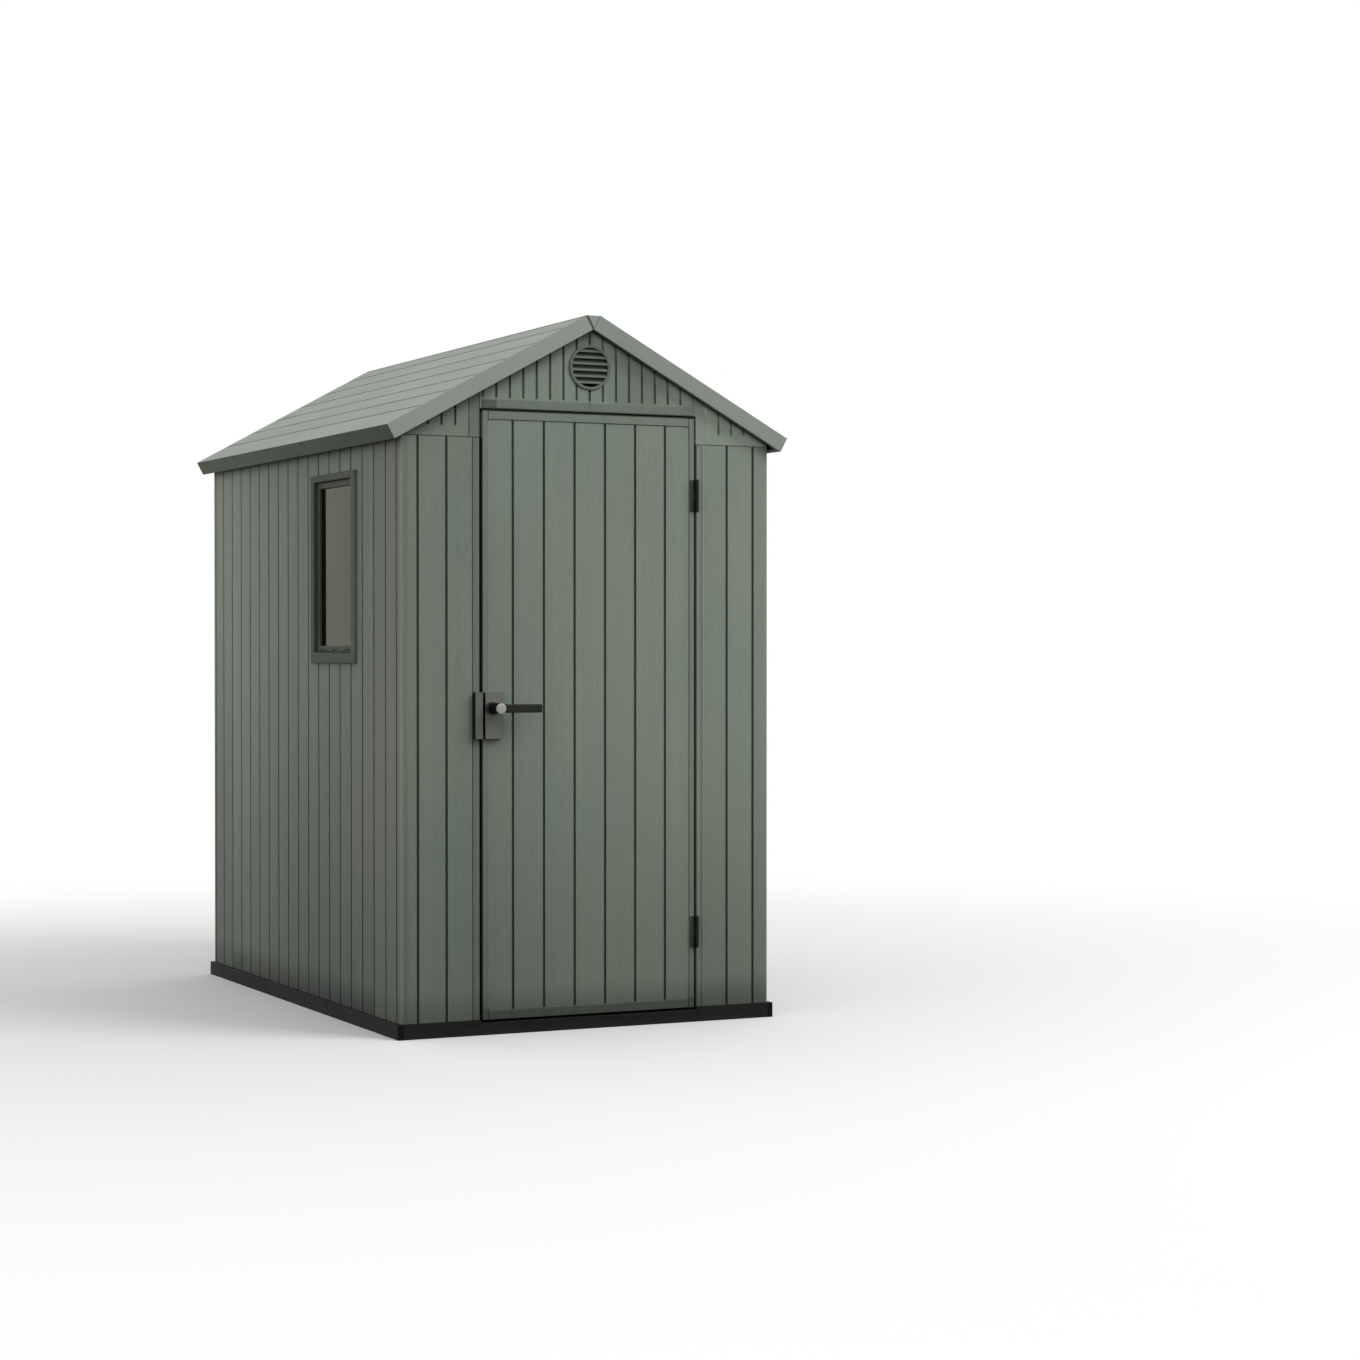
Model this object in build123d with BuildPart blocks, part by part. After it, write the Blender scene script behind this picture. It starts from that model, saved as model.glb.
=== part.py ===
from build123d import *
import os
from math import cos, radians, sin, sqrt, tan

os.makedirs("parts", exist_ok=True)

# Plastic garden shed with a ridge roof, one door and one side window.
# The front faces -Y, the window is in the left wall (-X) and Z is up.
# The origin is on the ground at the centre of the footprint. Millimetres.

# Walls
WALL_WIDTH = 1162.0
WALL_DEPTH = 1786.0
WALL_THICK = 18.0
CORNER_RADIUS = 13.0

# Boards moulded into the walls; the grooves on a corner panel are measured from the wall's corner
SIDE_BOARD = 97.1
SIDE_BOARDS = 7
FRONT_BOARD = 96.0
REAR_BOARDS = 7
GROOVE_MOUTH = 7.5
GROOVE_FLOOR = 4.0
GROOVE_DEPTH = 5.0
SIDE_CORNER_GROOVES = (116.0, 29.0)
FRONT_CORNER_GROOVES = (139.0, 53.0)
REAR_CORNER_BOARDS = 2

# Tongue on each panel's edge, in the slot of the next panel
TONGUE_THICK = 6.0
TONGUE_LENGTH = 10.0
TONGUE_PLAY = 0.3

# Floor: three panels with a raised rim that carries the walls
RIM_HEIGHT = 43.0
DECK_HEIGHT = 35.5
RIM_PROUD = 10.0
RIM_INSIDE = 6.0
FLOOR_PANELS = 3
FLOOR_RIB = 14.0
POCKET_DEPTH = 12.0
POCKETS_ACROSS = 6
POCKETS_ALONG = 3

# Roof
ROOF_PITCH = 28.7
EAVE_LIFT = 30.16
EAVE_OVERHANG = 48.0
GABLE_OVERHANG = 29.5
ROOF_SKIN = 20.0
BARGE_DEPTH = 45.5
BARGE_THICK = 14.0
MITRE_GAP = 0.15
SEAM_CHAMFER = 1.6
ROOF_BOARD = 98.5
ROOF_FIRST_GROOVE = 82.0
ROOF_GROOVES = 6
ROOF_GROOVE_STOP = 5.0
ROOF_GROOVE_DEPTH = 3.5
ROOF_GROOVE_FLOOR = 3.0
ROOF_GROOVE_TAPER = 30.0
CLIP_COUNT = 6
CLIP_MARGIN = 71.0
CLIP_LENGTH = 26.0
CLIP_HEIGHT = 5.0
CLIP_DROP = 8.0
CLIP_DEPTH = 2.5

# Ridge beam under the roof
BEAM_HALF = 20.0
BEAM_DROP = 62.0
BEAM_WALL = 2.0
BEAM_SEAT = 10.0
BEAM_PLAY = 0.3

# Gables
EAR_DROP = 84.0
GABLE_BOARD = 41.5
GABLE_GROOVES = 12
EAR_BAND = 32.0
EAR_RECESS = 2.0
FOOT_CUT = 2.5
HEADER_BAND = 31.0
HEADER_PROUD = 2.0
HEADER_FACE_HEIGHT = 24.0
HEADER_FACE_LIFT = 2.0

# Doorway and door
DOOR_WIDTH = 668.0
DOOR_HEIGHT = 1727.5
DOOR_BOTTOM_GAP = 6.0
DOOR_THICK = 28.0
DOOR_SIDE_GAP = 7.0
DOOR_TOP_GAP = 6.0
DOOR_BOARDS = 7
DOOR_RIM = 3.0
DOOR_STILE = 18.0
DOOR_RAIL = 27.0
DOOR_CORNER = 9.0
DOOR_EDGE = 1.5
RAIL_JOINT = 3.0
JAMB_STRIP = 21.5
JAMB_RECESS = 3.0
STOP_GAP = 5.0
STOP_THICK = 8.0
STOP_REACH = 13.0

# Window in the front half of the left wall
WINDOW_WIDTH = 395.0
WINDOW_HEIGHT = 563.0
WINDOW_DROP = 77.0
WINDOW_LAP = 14.0
WINDOW_PLAY = 0.3
FRAME_PROUD = 9.0
FRAME_SIDE = 34.0
FRAME_HEAD = 21.0
FRAME_SILL = 32.0
FRAME_CHAMFER = 2.0
SASH_BAR = 20.0
SASH_SETBACK = 11.0
SASH_THICK = 9.0
SASH_SLOTS = 3
SASH_SLOT_LENGTH = 50.0
SASH_SLOT_HEIGHT = 4.0
SASH_SLOT_LIFT = 7.0
SASH_SLOT_DEPTH = 3.0
PANE_THICK = 4.0
INNER_FRAME_THICK = 6.0

# Round louvred vent in each gable
VENT_BELOW_BEAM = 20.0
VENT_FLANGE_RADIUS = 65.0
VENT_FLANGE_THICK = 5.0
VENT_NECK_RADIUS = 59.0
VENT_WALL = 3.0
VENT_PLAY = 0.3
SLAT_COUNT = 6
SLAT_MARGIN = 2.0
SLAT_THICK = 3.0
SLAT_RISE = 9.0
SLAT_RUN = 11.0

# Hinges
HINGE_HEIGHT = 92.0
UPPER_HINGE_DROP = 227.0
LOWER_HINGE_LIFT = 222.5
HINGE_OUT = 11.0
HINGE_RADIUS = 5.5
PIN_RADIUS = 2.5
PIN_PLAY = 0.06
PIN_HEAD = 1.5
KNUCKLE_GAP = 0.4
KNUCKLES = 3
LEAF_THICK = 3.0
DOOR_LEAF_WIDTH = 14.0
WALL_LEAF_WIDTH = 11.0
HINGE_INSET = 0.5

# Lock and lever
LEVER_LIFT = 884.0
LEVER_INSET = 26.0
LEVER_PLAY = 0.5
LOCK_ABOVE = 45.5
LOCK_BELOW = 86.5
LOCK_INSET = 2.0
LOCK_WIDTH = 55.0
LOCK_PROUD = 17.0
LOCK_RADIUS = 4.0
LOCK_EDGE = 2.0
LOCK_PLAY = 0.5
KEEPER_REACH = 1.5
KEEPER_PROUD = 23.0
HUB_LENGTH = 52.0
HUB_BASE_RADIUS = 17.0
HUB_TIP_RADIUS = 15.0
LEVER_LENGTH = 129.0
LEVER_TALL = 24.0
LEVER_DEEP = 13.0
LEVER_SET_BACK = 3.0
LEVER_EDGE = 2.5
CAP_RADIUS = 16.0
CAP_THICK = 4.0
CAP_EDGE = 1.5
SPINDLE_SIDE = 8.0
SPINDLE_DEPTH = 14.0
SPINDLE_PLAY = 0.1

# Worked out from the above
HALF_WIDTH = WALL_WIDTH / 2
HALF_DEPTH = WALL_DEPTH / 2
INNER_X = HALF_WIDTH - WALL_THICK
INNER_Y = HALF_DEPTH - WALL_THICK
PANEL_END = SIDE_BOARD * SIDE_BOARDS
REAR_END = FRONT_BOARD * REAR_BOARDS / 2
DOOR_HALF = DOOR_WIDTH / 2
DOOR_BOTTOM = DECK_HEIGHT + DOOR_BOTTOM_GAP
DOOR_TOP = DOOR_BOTTOM + DOOR_HEIGHT
OPENING_HALF = DOOR_HALF + DOOR_SIDE_GAP
HEADER_BOTTOM = DOOR_TOP + DOOR_TOP_GAP
HEADER_TOP = HEADER_BOTTOM + HEADER_BAND
GABLE_BOTTOM = HEADER_BOTTOM - EAR_DROP
PITCH = radians(ROOF_PITCH)
CAP_HALF = BARGE_DEPTH * sin(PITCH) + MITRE_GAP
SLOPE_LENGTH = (HALF_WIDTH + EAVE_OVERHANG - CAP_HALF) / cos(PITCH)
ROOF_LENGTH = WALL_DEPTH + 2 * GABLE_OVERHANG
RIDGE_HEIGHT = GABLE_BOTTOM + EAVE_LIFT + ROOF_SKIN / cos(PITCH) + (HALF_WIDTH - CAP_HALF) * tan(PITCH)
BEAM_BOTTOM = RIDGE_HEIGHT - BEAM_DROP
VENT_HEIGHT = BEAM_BOTTOM - VENT_BELOW_BEAM - VENT_FLANGE_RADIUS
STRIP_EDGE = OPENING_HALF + JAMB_STRIP
STOP_FRONT = -HALF_DEPTH + DOOR_THICK + STOP_GAP
STOP_BACK = STOP_FRONT + STOP_THICK
FAR = 3000.0

GROOVE_SECTION = (
    (-GROOVE_MOUTH / 2, -GROOVE_DEPTH),
    (-GROOVE_MOUTH / 2, 0.0),
    (-GROOVE_FLOOR / 2, GROOVE_DEPTH),
    (GROOVE_FLOOR / 2, GROOVE_DEPTH),
    (GROOVE_MOUTH / 2, 0.0),
    (GROOVE_MOUTH / 2, -GROOVE_DEPTH),
)


def slope_point(along, down):
    """Point (x, z) on the left roof slope: along it from the ridge cap, and down square to it."""
    x = -CAP_HALF - along * cos(PITCH) + down * sin(PITCH)
    z = RIDGE_HEIGHT - along * sin(PITCH) - down * cos(PITCH)
    return (x, z)


def underside(x):
    """Height of the roof skin's underside at a distance x from the ridge."""
    return RIDGE_HEIGHT - (x - CAP_HALF) * tan(PITCH) - ROOF_SKIN / cos(PITCH)


def cut_grooves(places, turn):
    """Cut board grooves into the plan being drawn; turn 0 is for a face towards -Y."""
    with Locations(*places):
        Polygon(*GROOVE_SECTION, rotation=turn, align=None, mode=Mode.SUBTRACT)


def outline(plane, *points):
    """Sketch a closed outline on a plane."""
    with BuildSketch(plane) as sketch:
        Polygon(*points, align=None)
    return sketch.sketch


def layer(back, front, points, mode=Mode.ADD):
    """Add or cut an outline, given in X and Z, between two depths in Y."""
    extrude(outline(Plane.XZ.offset(-back), *points), amount=back - front, mode=mode)


def cut_to_roof():
    """Cut what is being built along the underside of both roof slopes."""
    slopes = [(-FAR, underside(FAR)), (apex_x, apex_z), (-apex_x, apex_z), (FAR, underside(FAR))]
    layer(FAR, -FAR, slopes + [(FAR, FAR), (-FAR, FAR)], mode=Mode.SUBTRACT)


def mirrored(source, plane):
    """Make the same piece on the other side of a plane."""
    with BuildPart() as copy:
        mirror(source.part, about=plane)
    return copy


def save(piece, label):
    """Name a finished piece and write it out."""
    piece.part.label = label
    export_step(piece.part, f"parts/{label}.step")


apex_x, apex_z = slope_point(0, ROOF_SKIN)


# Floor panels: a deck inside a raised rim, lowered at the doorway, with pockets between ribs underneath

floor_half_x = HALF_WIDTH + RIM_PROUD
floor_half_y = HALF_DEPTH + RIM_PROUD
floor_length = 2 * floor_half_y / FLOOR_PANELS
rim_inner_x = INNER_X - RIM_INSIDE
rim_inner_y = INNER_Y - RIM_INSIDE


def floor_panel(index):
    """One of the floor panels, counted from the front."""
    middle = -floor_half_y + floor_length * (index + 0.5)
    pocket_x = (2 * floor_half_x - FLOOR_RIB) / POCKETS_ACROSS
    pocket_y = (floor_length - FLOOR_RIB) / POCKETS_ALONG
    with BuildPart() as panel:
        with BuildSketch():
            with Locations((0, middle)):
                Rectangle(2 * floor_half_x, floor_length)
        extrude(amount=RIM_HEIGHT)
        with BuildSketch(Plane.XY.offset(DECK_HEIGHT)):
            Rectangle(2 * rim_inner_x, 2 * rim_inner_y)
            with Locations((0, -floor_half_y)):
                Rectangle(2 * OPENING_HALF, 2 * (floor_half_y - rim_inner_y))
        extrude(amount=RIM_HEIGHT, mode=Mode.SUBTRACT)
        with BuildSketch():
            with Locations((0, middle)):
                with GridLocations(pocket_x, pocket_y, POCKETS_ACROSS, POCKETS_ALONG):
                    Rectangle(pocket_x - FLOOR_RIB, pocket_y - FLOOR_RIB)
        extrude(amount=POCKET_DEPTH, mode=Mode.SUBTRACT)
    return panel


for index, place in enumerate(("front", "centre", "rear")):
    save(floor_panel(index), f"floor_{place}_panel")


# Side wall panels: seven boards, a tongue on the rear edge and a slot in the front edge

def side_panel(start):
    """A plain panel of the left wall, from start towards the rear."""
    outer = -HALF_WIDTH
    middle_x = outer + WALL_THICK / 2
    with BuildPart() as panel:
        with BuildSketch(Plane.XY.offset(RIM_HEIGHT)):
            with Locations((middle_x, start + PANEL_END / 2)):
                Rectangle(WALL_THICK, PANEL_END)
            with Locations((middle_x, start + PANEL_END)):
                Rectangle(TONGUE_THICK, 2 * TONGUE_LENGTH)
            with Locations((middle_x, start)):
                Rectangle(
                    TONGUE_THICK + 2 * TONGUE_PLAY,
                    2 * (TONGUE_LENGTH + TONGUE_PLAY),
                    mode=Mode.SUBTRACT,
                )
            cut_grooves([(outer, start + SIDE_BOARD * n) for n in range(SIDE_BOARDS + 1)], -90)
        extrude(amount=RIDGE_HEIGHT)
        cut_to_roof()
    return panel


left_rear_panel = side_panel(0.0)
left_front_panel = side_panel(-PANEL_END)
right_rear_panel = mirrored(left_rear_panel, Plane.YZ)
right_front_panel = mirrored(left_front_panel, Plane.YZ)

hole_width = WINDOW_WIDTH - 2 * WINDOW_LAP
hole_height = WINDOW_HEIGHT - 2 * WINDOW_LAP
window_plane = Plane(
    origin=(-HALF_WIDTH, -PANEL_END / 2, GABLE_BOTTOM - WINDOW_DROP - WINDOW_HEIGHT / 2),
    x_dir=(0, -1, 0),
    z_dir=(-1, 0, 0),
)

with BuildPart() as left_window_panel:
    add(left_front_panel.part)
    with BuildSketch(window_plane):
        Rectangle(hole_width, hole_height)
    extrude(amount=2 * WALL_THICK, both=True, mode=Mode.SUBTRACT)

save(left_window_panel, "left_window_panel")
save(left_rear_panel, "left_rear_panel")
save(right_front_panel, "right_front_panel")
save(right_rear_panel, "right_rear_panel")


# Corner panels: one L in plan that turns from the end wall on to the side wall

side_corner_grooves = [HALF_DEPTH - distance for distance in SIDE_CORNER_GROOVES] + [PANEL_END]
front_corner_grooves = [HALF_WIDTH - distance for distance in FRONT_CORNER_GROOVES]
rear_corner_board = (front_corner_grooves[-1] - REAR_END) / REAR_CORNER_BOARDS
rear_corner_grooves = [REAR_END + rear_corner_board * n for n in range(REAR_CORNER_BOARDS + 1)]

def end_leg_trim(sign):
    """Cut the end wall's leg down to the bottom of the gable; sign is -1 at the front, 1 at the rear."""
    with BuildSketch(Plane.XY.offset(GABLE_BOTTOM)) as above:
        with Locations((0, sign * (INNER_Y + FAR / 2))):
            Rectangle(FAR, FAR)
        with Locations((-INNER_X + FAR / 2, 0)):
            Rectangle(FAR, FAR)
    extrude(above.sketch, amount=FAR, mode=Mode.SUBTRACT)


with BuildPart() as front_left_corner_panel:
    with BuildSketch(Plane.XY.offset(RIM_HEIGHT)) as front_corner_plan:
        Polygon(
            (-HALF_WIDTH, -HALF_DEPTH),
            (-STRIP_EDGE, -HALF_DEPTH),
            (-STRIP_EDGE, -HALF_DEPTH + JAMB_RECESS),
            (-OPENING_HALF, -HALF_DEPTH + JAMB_RECESS),
            (-OPENING_HALF, STOP_FRONT),
            (-OPENING_HALF + STOP_REACH, STOP_FRONT),
            (-OPENING_HALF + STOP_REACH, STOP_BACK),
            (-STRIP_EDGE, STOP_BACK),
            (-STRIP_EDGE, -INNER_Y),
            (-INNER_X, -INNER_Y),
            (-INNER_X, -PANEL_END),
            (-HALF_WIDTH, -PANEL_END),
            align=None,
        )
        outer_corner = front_corner_plan.vertices().sort_by_distance((-HALF_WIDTH, -HALF_DEPTH, 0))[0]
        fillet(outer_corner, radius=CORNER_RADIUS)
        with Locations((-HALF_WIDTH + WALL_THICK / 2, -PANEL_END)):
            Rectangle(TONGUE_THICK, 2 * TONGUE_LENGTH)
        cut_grooves([(-x, -HALF_DEPTH) for x in front_corner_grooves], 0)
        cut_grooves([(-HALF_WIDTH, -y) for y in side_corner_grooves], -90)
    extrude(amount=RIDGE_HEIGHT)
    end_leg_trim(-1)
    cut_to_roof()

with BuildPart() as rear_left_corner_panel:
    with BuildSketch(Plane.XY.offset(RIM_HEIGHT)) as rear_corner_plan:
        Polygon(
            (-HALF_WIDTH, HALF_DEPTH),
            (-REAR_END, HALF_DEPTH),
            (-REAR_END, INNER_Y),
            (-INNER_X, INNER_Y),
            (-INNER_X, PANEL_END),
            (-HALF_WIDTH, PANEL_END),
            align=None,
        )
        outer_corner = rear_corner_plan.vertices().sort_by_distance((-HALF_WIDTH, HALF_DEPTH, 0))[0]
        fillet(outer_corner, radius=CORNER_RADIUS)
        with Locations((-HALF_WIDTH + WALL_THICK / 2, PANEL_END)):
            Rectangle(
                TONGUE_THICK + 2 * TONGUE_PLAY,
                2 * (TONGUE_LENGTH + TONGUE_PLAY),
                mode=Mode.SUBTRACT,
            )
        with Locations((-REAR_END, HALF_DEPTH - WALL_THICK / 2)):
            Rectangle(
                2 * (TONGUE_LENGTH + TONGUE_PLAY),
                TONGUE_THICK + 2 * TONGUE_PLAY,
                mode=Mode.SUBTRACT,
            )
        cut_grooves([(-x, HALF_DEPTH) for x in rear_corner_grooves], 180)
        cut_grooves([(-HALF_WIDTH, y) for y in side_corner_grooves], -90)
    extrude(amount=RIDGE_HEIGHT)
    end_leg_trim(1)
    cut_to_roof()

save(front_left_corner_panel, "front_left_corner_panel")
save(rear_left_corner_panel, "rear_left_corner_panel")
save(mirrored(front_left_corner_panel, Plane.YZ), "front_right_corner_panel")
save(mirrored(rear_left_corner_panel, Plane.YZ), "rear_right_corner_panel")


# Rear wall panel between the corners, with a tongue on both edges

with BuildPart() as rear_centre_panel:
    with BuildSketch(Plane.XY.offset(RIM_HEIGHT)):
        with Locations((0, HALF_DEPTH - WALL_THICK / 2)):
            Rectangle(2 * REAR_END, WALL_THICK)
            Rectangle(2 * (REAR_END + TONGUE_LENGTH), TONGUE_THICK)
        cut_grooves([(-REAR_END + FRONT_BOARD * n, HALF_DEPTH) for n in range(REAR_BOARDS + 1)], 180)
    extrude(amount=GABLE_BOTTOM - RIM_HEIGHT)

save(rear_centre_panel, "rear_centre_panel")


# Gables: two halves that meet on the centre line and carry the ridge beam in a pocket

def upright_groove(number, start):
    """Cut one upright board groove into a gable half, from a height up to the roof."""
    shift = Vector(-GABLE_BOARD * number, -HALF_DEPTH)
    section = [Vector(*point) + shift for point in GROOVE_SECTION]
    extrude(outline(Plane.XY.offset(start), *section), amount=RIDGE_HEIGHT, mode=Mode.SUBTRACT)


def door_surround():
    """Add the header beam, the posts and the door stop behind a gable half, and the header's face."""
    stop_edge = -OPENING_HALF + STOP_REACH
    stop_bottom = HEADER_BOTTOM - STOP_REACH
    post = [(0, HEADER_TOP), (-STRIP_EDGE, HEADER_TOP), (-STRIP_EDGE, GABLE_BOTTOM)]
    stop = [(0, stop_bottom), (stop_edge, stop_bottom), (stop_edge, GABLE_BOTTOM)]
    face_bottom = HEADER_BOTTOM + HEADER_FACE_LIFT
    face_top = face_bottom + HEADER_FACE_HEIGHT
    face = [(0, face_bottom), (0, face_top), (-DOOR_HALF, face_top), (-DOOR_HALF, face_bottom)]
    layer(STOP_BACK, -INNER_Y, post + door_line)
    layer(STOP_BACK, STOP_FRONT, stop + door_line)
    layer(-HALF_DEPTH, -HALF_DEPTH - HEADER_PROUD, face)


roof_line = [
    (0, apex_z),
    (apex_x, apex_z),
    (-HALF_WIDTH, underside(HALF_WIDTH)),
    (-HALF_WIDTH, GABLE_BOTTOM),
]
door_line = [(-OPENING_HALF, GABLE_BOTTOM), (-OPENING_HALF, HEADER_BOTTOM), (0, HEADER_BOTTOM)]
foot_line = [(0, GABLE_BOTTOM)]
last_over_door = int(OPENING_HALF // GABLE_BOARD)
ear_edge = GABLE_BOARD * (last_over_door + 1)
ear_strip = [
    (-OPENING_HALF, GABLE_BOTTOM),
    (-OPENING_HALF, RIDGE_HEIGHT),
    (-ear_edge, RIDGE_HEIGHT),
    (-ear_edge, GABLE_BOTTOM),
]
foot_cut = [
    (-HALF_DEPTH, GABLE_BOTTOM),
    (-HALF_DEPTH + FOOT_CUT, GABLE_BOTTOM),
    (-HALF_DEPTH, GABLE_BOTTOM + FOOT_CUT),
]


def gable_half(over_door):
    """Left half of a gable, made at the front; over_door gives it the door's notch and surround."""
    with BuildPart() as half:
        layer(-INNER_Y, -HALF_DEPTH, roof_line + (door_line if over_door else foot_line))
        outer_edge = half.edges().filter_by(Axis.Z).group_by(Axis.X)[0].sort_by(Axis.Y)[0]
        fillet(outer_edge, radius=CORNER_RADIUS)
        if over_door:
            door_surround()
            layer(-HALF_DEPTH + EAR_RECESS, -HALF_DEPTH, ear_strip, mode=Mode.SUBTRACT)
        for n in range(GABLE_GROOVES + 1):
            if not over_door or n > last_over_door + 1:
                upright_groove(n, GABLE_BOTTOM + EAR_BAND)
            elif n <= last_over_door:
                upright_groove(n, HEADER_TOP)
        extrude(outline(Plane.YZ, *foot_cut), amount=FAR, both=True, mode=Mode.SUBTRACT)
        side = -BEAM_HALF - BEAM_PLAY
        bottom = BEAM_BOTTOM - BEAM_PLAY
        pocket = [(0, bottom), (side, bottom), (side, FAR), (0, FAR)]
        layer(-INNER_Y, -INNER_Y - BEAM_SEAT, pocket, mode=Mode.SUBTRACT)
        with BuildSketch(Plane.XZ):
            with Locations((0, VENT_HEIGHT)):
                Circle(VENT_NECK_RADIUS + VENT_PLAY)
        extrude(amount=FAR, mode=Mode.SUBTRACT)
    return half


front_gable_left = gable_half(True)
rear_gable_left = mirrored(gable_half(False), Plane.XZ)
save(front_gable_left, "front_gable_left")
save(mirrored(front_gable_left, Plane.YZ), "front_gable_right")
save(rear_gable_left, "rear_gable_left")
save(mirrored(rear_gable_left, Plane.YZ), "rear_gable_right")


# Vents: a flanged ring with slanted slats, pushed into the hole between the gable halves

vent_bore = VENT_NECK_RADIUS - VENT_WALL
slat_pitch = 2 * (vent_bore - SLAT_MARGIN) / SLAT_COUNT
slat_front = -HALF_DEPTH - VENT_FLANGE_THICK / 2

with BuildPart() as vent_slats:
    with BuildSketch(Plane.YZ):
        for n in range(SLAT_COUNT):
            low = VENT_HEIGHT + slat_pitch * (n - (SLAT_COUNT - 1) / 2) - SLAT_RISE / 2
            Polygon(
                (slat_front, low),
                (slat_front + SLAT_RUN, low + SLAT_RISE),
                (slat_front + SLAT_RUN, low + SLAT_RISE - SLAT_THICK),
                (slat_front, low - SLAT_THICK),
                align=None,
            )
    extrude(amount=VENT_NECK_RADIUS, both=True)
    with BuildSketch(Plane.XZ):
        with Locations((0, VENT_HEIGHT)):
            Circle(VENT_NECK_RADIUS - VENT_WALL / 2)
    extrude(amount=FAR, mode=Mode.INTERSECT)

with BuildPart() as front_vent:
    with BuildSketch(Plane.XZ.offset(HALF_DEPTH)):
        with Locations((0, VENT_HEIGHT)):
            Circle(VENT_FLANGE_RADIUS)
    extrude(amount=VENT_FLANGE_THICK)
    with BuildSketch(Plane.XZ.offset(INNER_Y)):
        with Locations((0, VENT_HEIGHT)):
            Circle(VENT_NECK_RADIUS)
    extrude(amount=WALL_THICK)
    with BuildSketch(Plane.XZ):
        with Locations((0, VENT_HEIGHT)):
            Circle(vent_bore)
    extrude(amount=FAR, mode=Mode.SUBTRACT)
    add(vent_slats.part)

save(front_vent, "front_vent")
save(mirrored(front_vent, Plane.XZ), "rear_vent")


# Roof panels: a boarded skin with a fascia along the eave and a barge at both gables

eave_plane = Plane(
    origin=(slope_point(SLOPE_LENGTH, 0)[0], 0, slope_point(SLOPE_LENGTH, 0)[1]),
    x_dir=(0, 1, 0),
    z_dir=(-cos(PITCH), 0, -sin(PITCH)),
)
slope_plane = Plane(
    origin=(-CAP_HALF, 0, RIDGE_HEIGHT),
    x_dir=(0, 1, 0),
    z_dir=(-sin(PITCH), 0, cos(PITCH)),
)

clip_pitch = (ROOF_LENGTH - 2 * CLIP_MARGIN) / (CLIP_COUNT - 1)

with BuildPart() as roof_left_panel:
    with BuildSketch(Plane.XZ):
        Polygon(
            slope_point(0, 0),
            slope_point(SLOPE_LENGTH, 0),
            slope_point(SLOPE_LENGTH, BARGE_DEPTH),
            slope_point(SLOPE_LENGTH - BARGE_THICK, BARGE_DEPTH),
            slope_point(SLOPE_LENGTH - BARGE_THICK, ROOF_SKIN),
            slope_point(0, ROOF_SKIN),
            align=None,
        )
    extrude(amount=ROOF_LENGTH / 2, both=True)
    for end in (ROOF_LENGTH / 2 - BARGE_THICK, -ROOF_LENGTH / 2):
        with BuildSketch(Plane.XZ.offset(end)):
            Polygon(
                slope_point(0, 0),
                slope_point(SLOPE_LENGTH, 0),
                slope_point(SLOPE_LENGTH, BARGE_DEPTH),
                slope_point(0, BARGE_DEPTH),
                align=None,
            )
        extrude(amount=BARGE_THICK)
    ridge_edges = roof_left_panel.edges().group_by(Axis.Z)[-1]
    chamfer(ridge_edges, length=SEAM_CHAMFER)
    with BuildSketch(slope_plane.offset(-ROOF_GROOVE_DEPTH)):
        for n in range(ROOF_GROOVES):
            along = ROOF_FIRST_GROOVE + ROOF_BOARD * n
            with Locations((0, along)):
                Rectangle(ROOF_LENGTH - 2 * (BARGE_THICK - ROOF_GROOVE_STOP), ROOF_GROOVE_FLOOR)
    extrude(amount=ROOF_GROOVE_DEPTH, taper=-ROOF_GROOVE_TAPER, mode=Mode.SUBTRACT)
    with BuildSketch(eave_plane):
        with Locations((0, CLIP_DROP)):
            with GridLocations(clip_pitch, 1, CLIP_COUNT, 1):
                Rectangle(CLIP_LENGTH, CLIP_HEIGHT)
    extrude(amount=-CLIP_DEPTH, mode=Mode.SUBTRACT)

save(roof_left_panel, "roof_left_panel")
save(mirrored(roof_left_panel, Plane.YZ), "roof_right_panel")


# Ridge cap: a flat-topped strip between the panels, with a wedge between the barges at both ends

with BuildPart() as ridge_cap:
    with BuildSketch(Plane.XZ):
        Polygon(
            (-CAP_HALF, RIDGE_HEIGHT),
            (CAP_HALF, RIDGE_HEIGHT),
            (-apex_x, apex_z),
            (apex_x, apex_z),
            align=None,
        )
    extrude(amount=ROOF_LENGTH / 2, both=True)
    for end in (ROOF_LENGTH / 2 - BARGE_THICK, -ROOF_LENGTH / 2):
        with BuildSketch(Plane.XZ.offset(end)):
            Polygon(
                (-CAP_HALF, RIDGE_HEIGHT),
                (CAP_HALF, RIDGE_HEIGHT),
                (0, RIDGE_HEIGHT - CAP_HALF / tan(PITCH)),
                align=None,
            )
        extrude(amount=BARGE_THICK)
    top_edges = ridge_cap.edges().group_by(Axis.Z)[-1]
    chamfer(top_edges, length=SEAM_CHAMFER)

save(ridge_cap, "ridge_cap")


# Ridge beam: a folded steel tube whose shoulders carry both roof panels

beam_length = 2 * (INNER_Y + BEAM_SEAT - BEAM_PLAY)

with BuildPart() as ridge_beam:
    with BuildSketch(Plane.XZ):
        Polygon(
            (apex_x, apex_z),
            (-apex_x, apex_z),
            (BEAM_HALF, underside(BEAM_HALF)),
            (BEAM_HALF, BEAM_BOTTOM),
            (-BEAM_HALF, BEAM_BOTTOM),
            (-BEAM_HALF, underside(BEAM_HALF)),
            align=None,
        )
        offset(amount=-BEAM_WALL, mode=Mode.SUBTRACT)
    extrude(amount=beam_length / 2, both=True)

save(ridge_beam, "ridge_beam")


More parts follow.
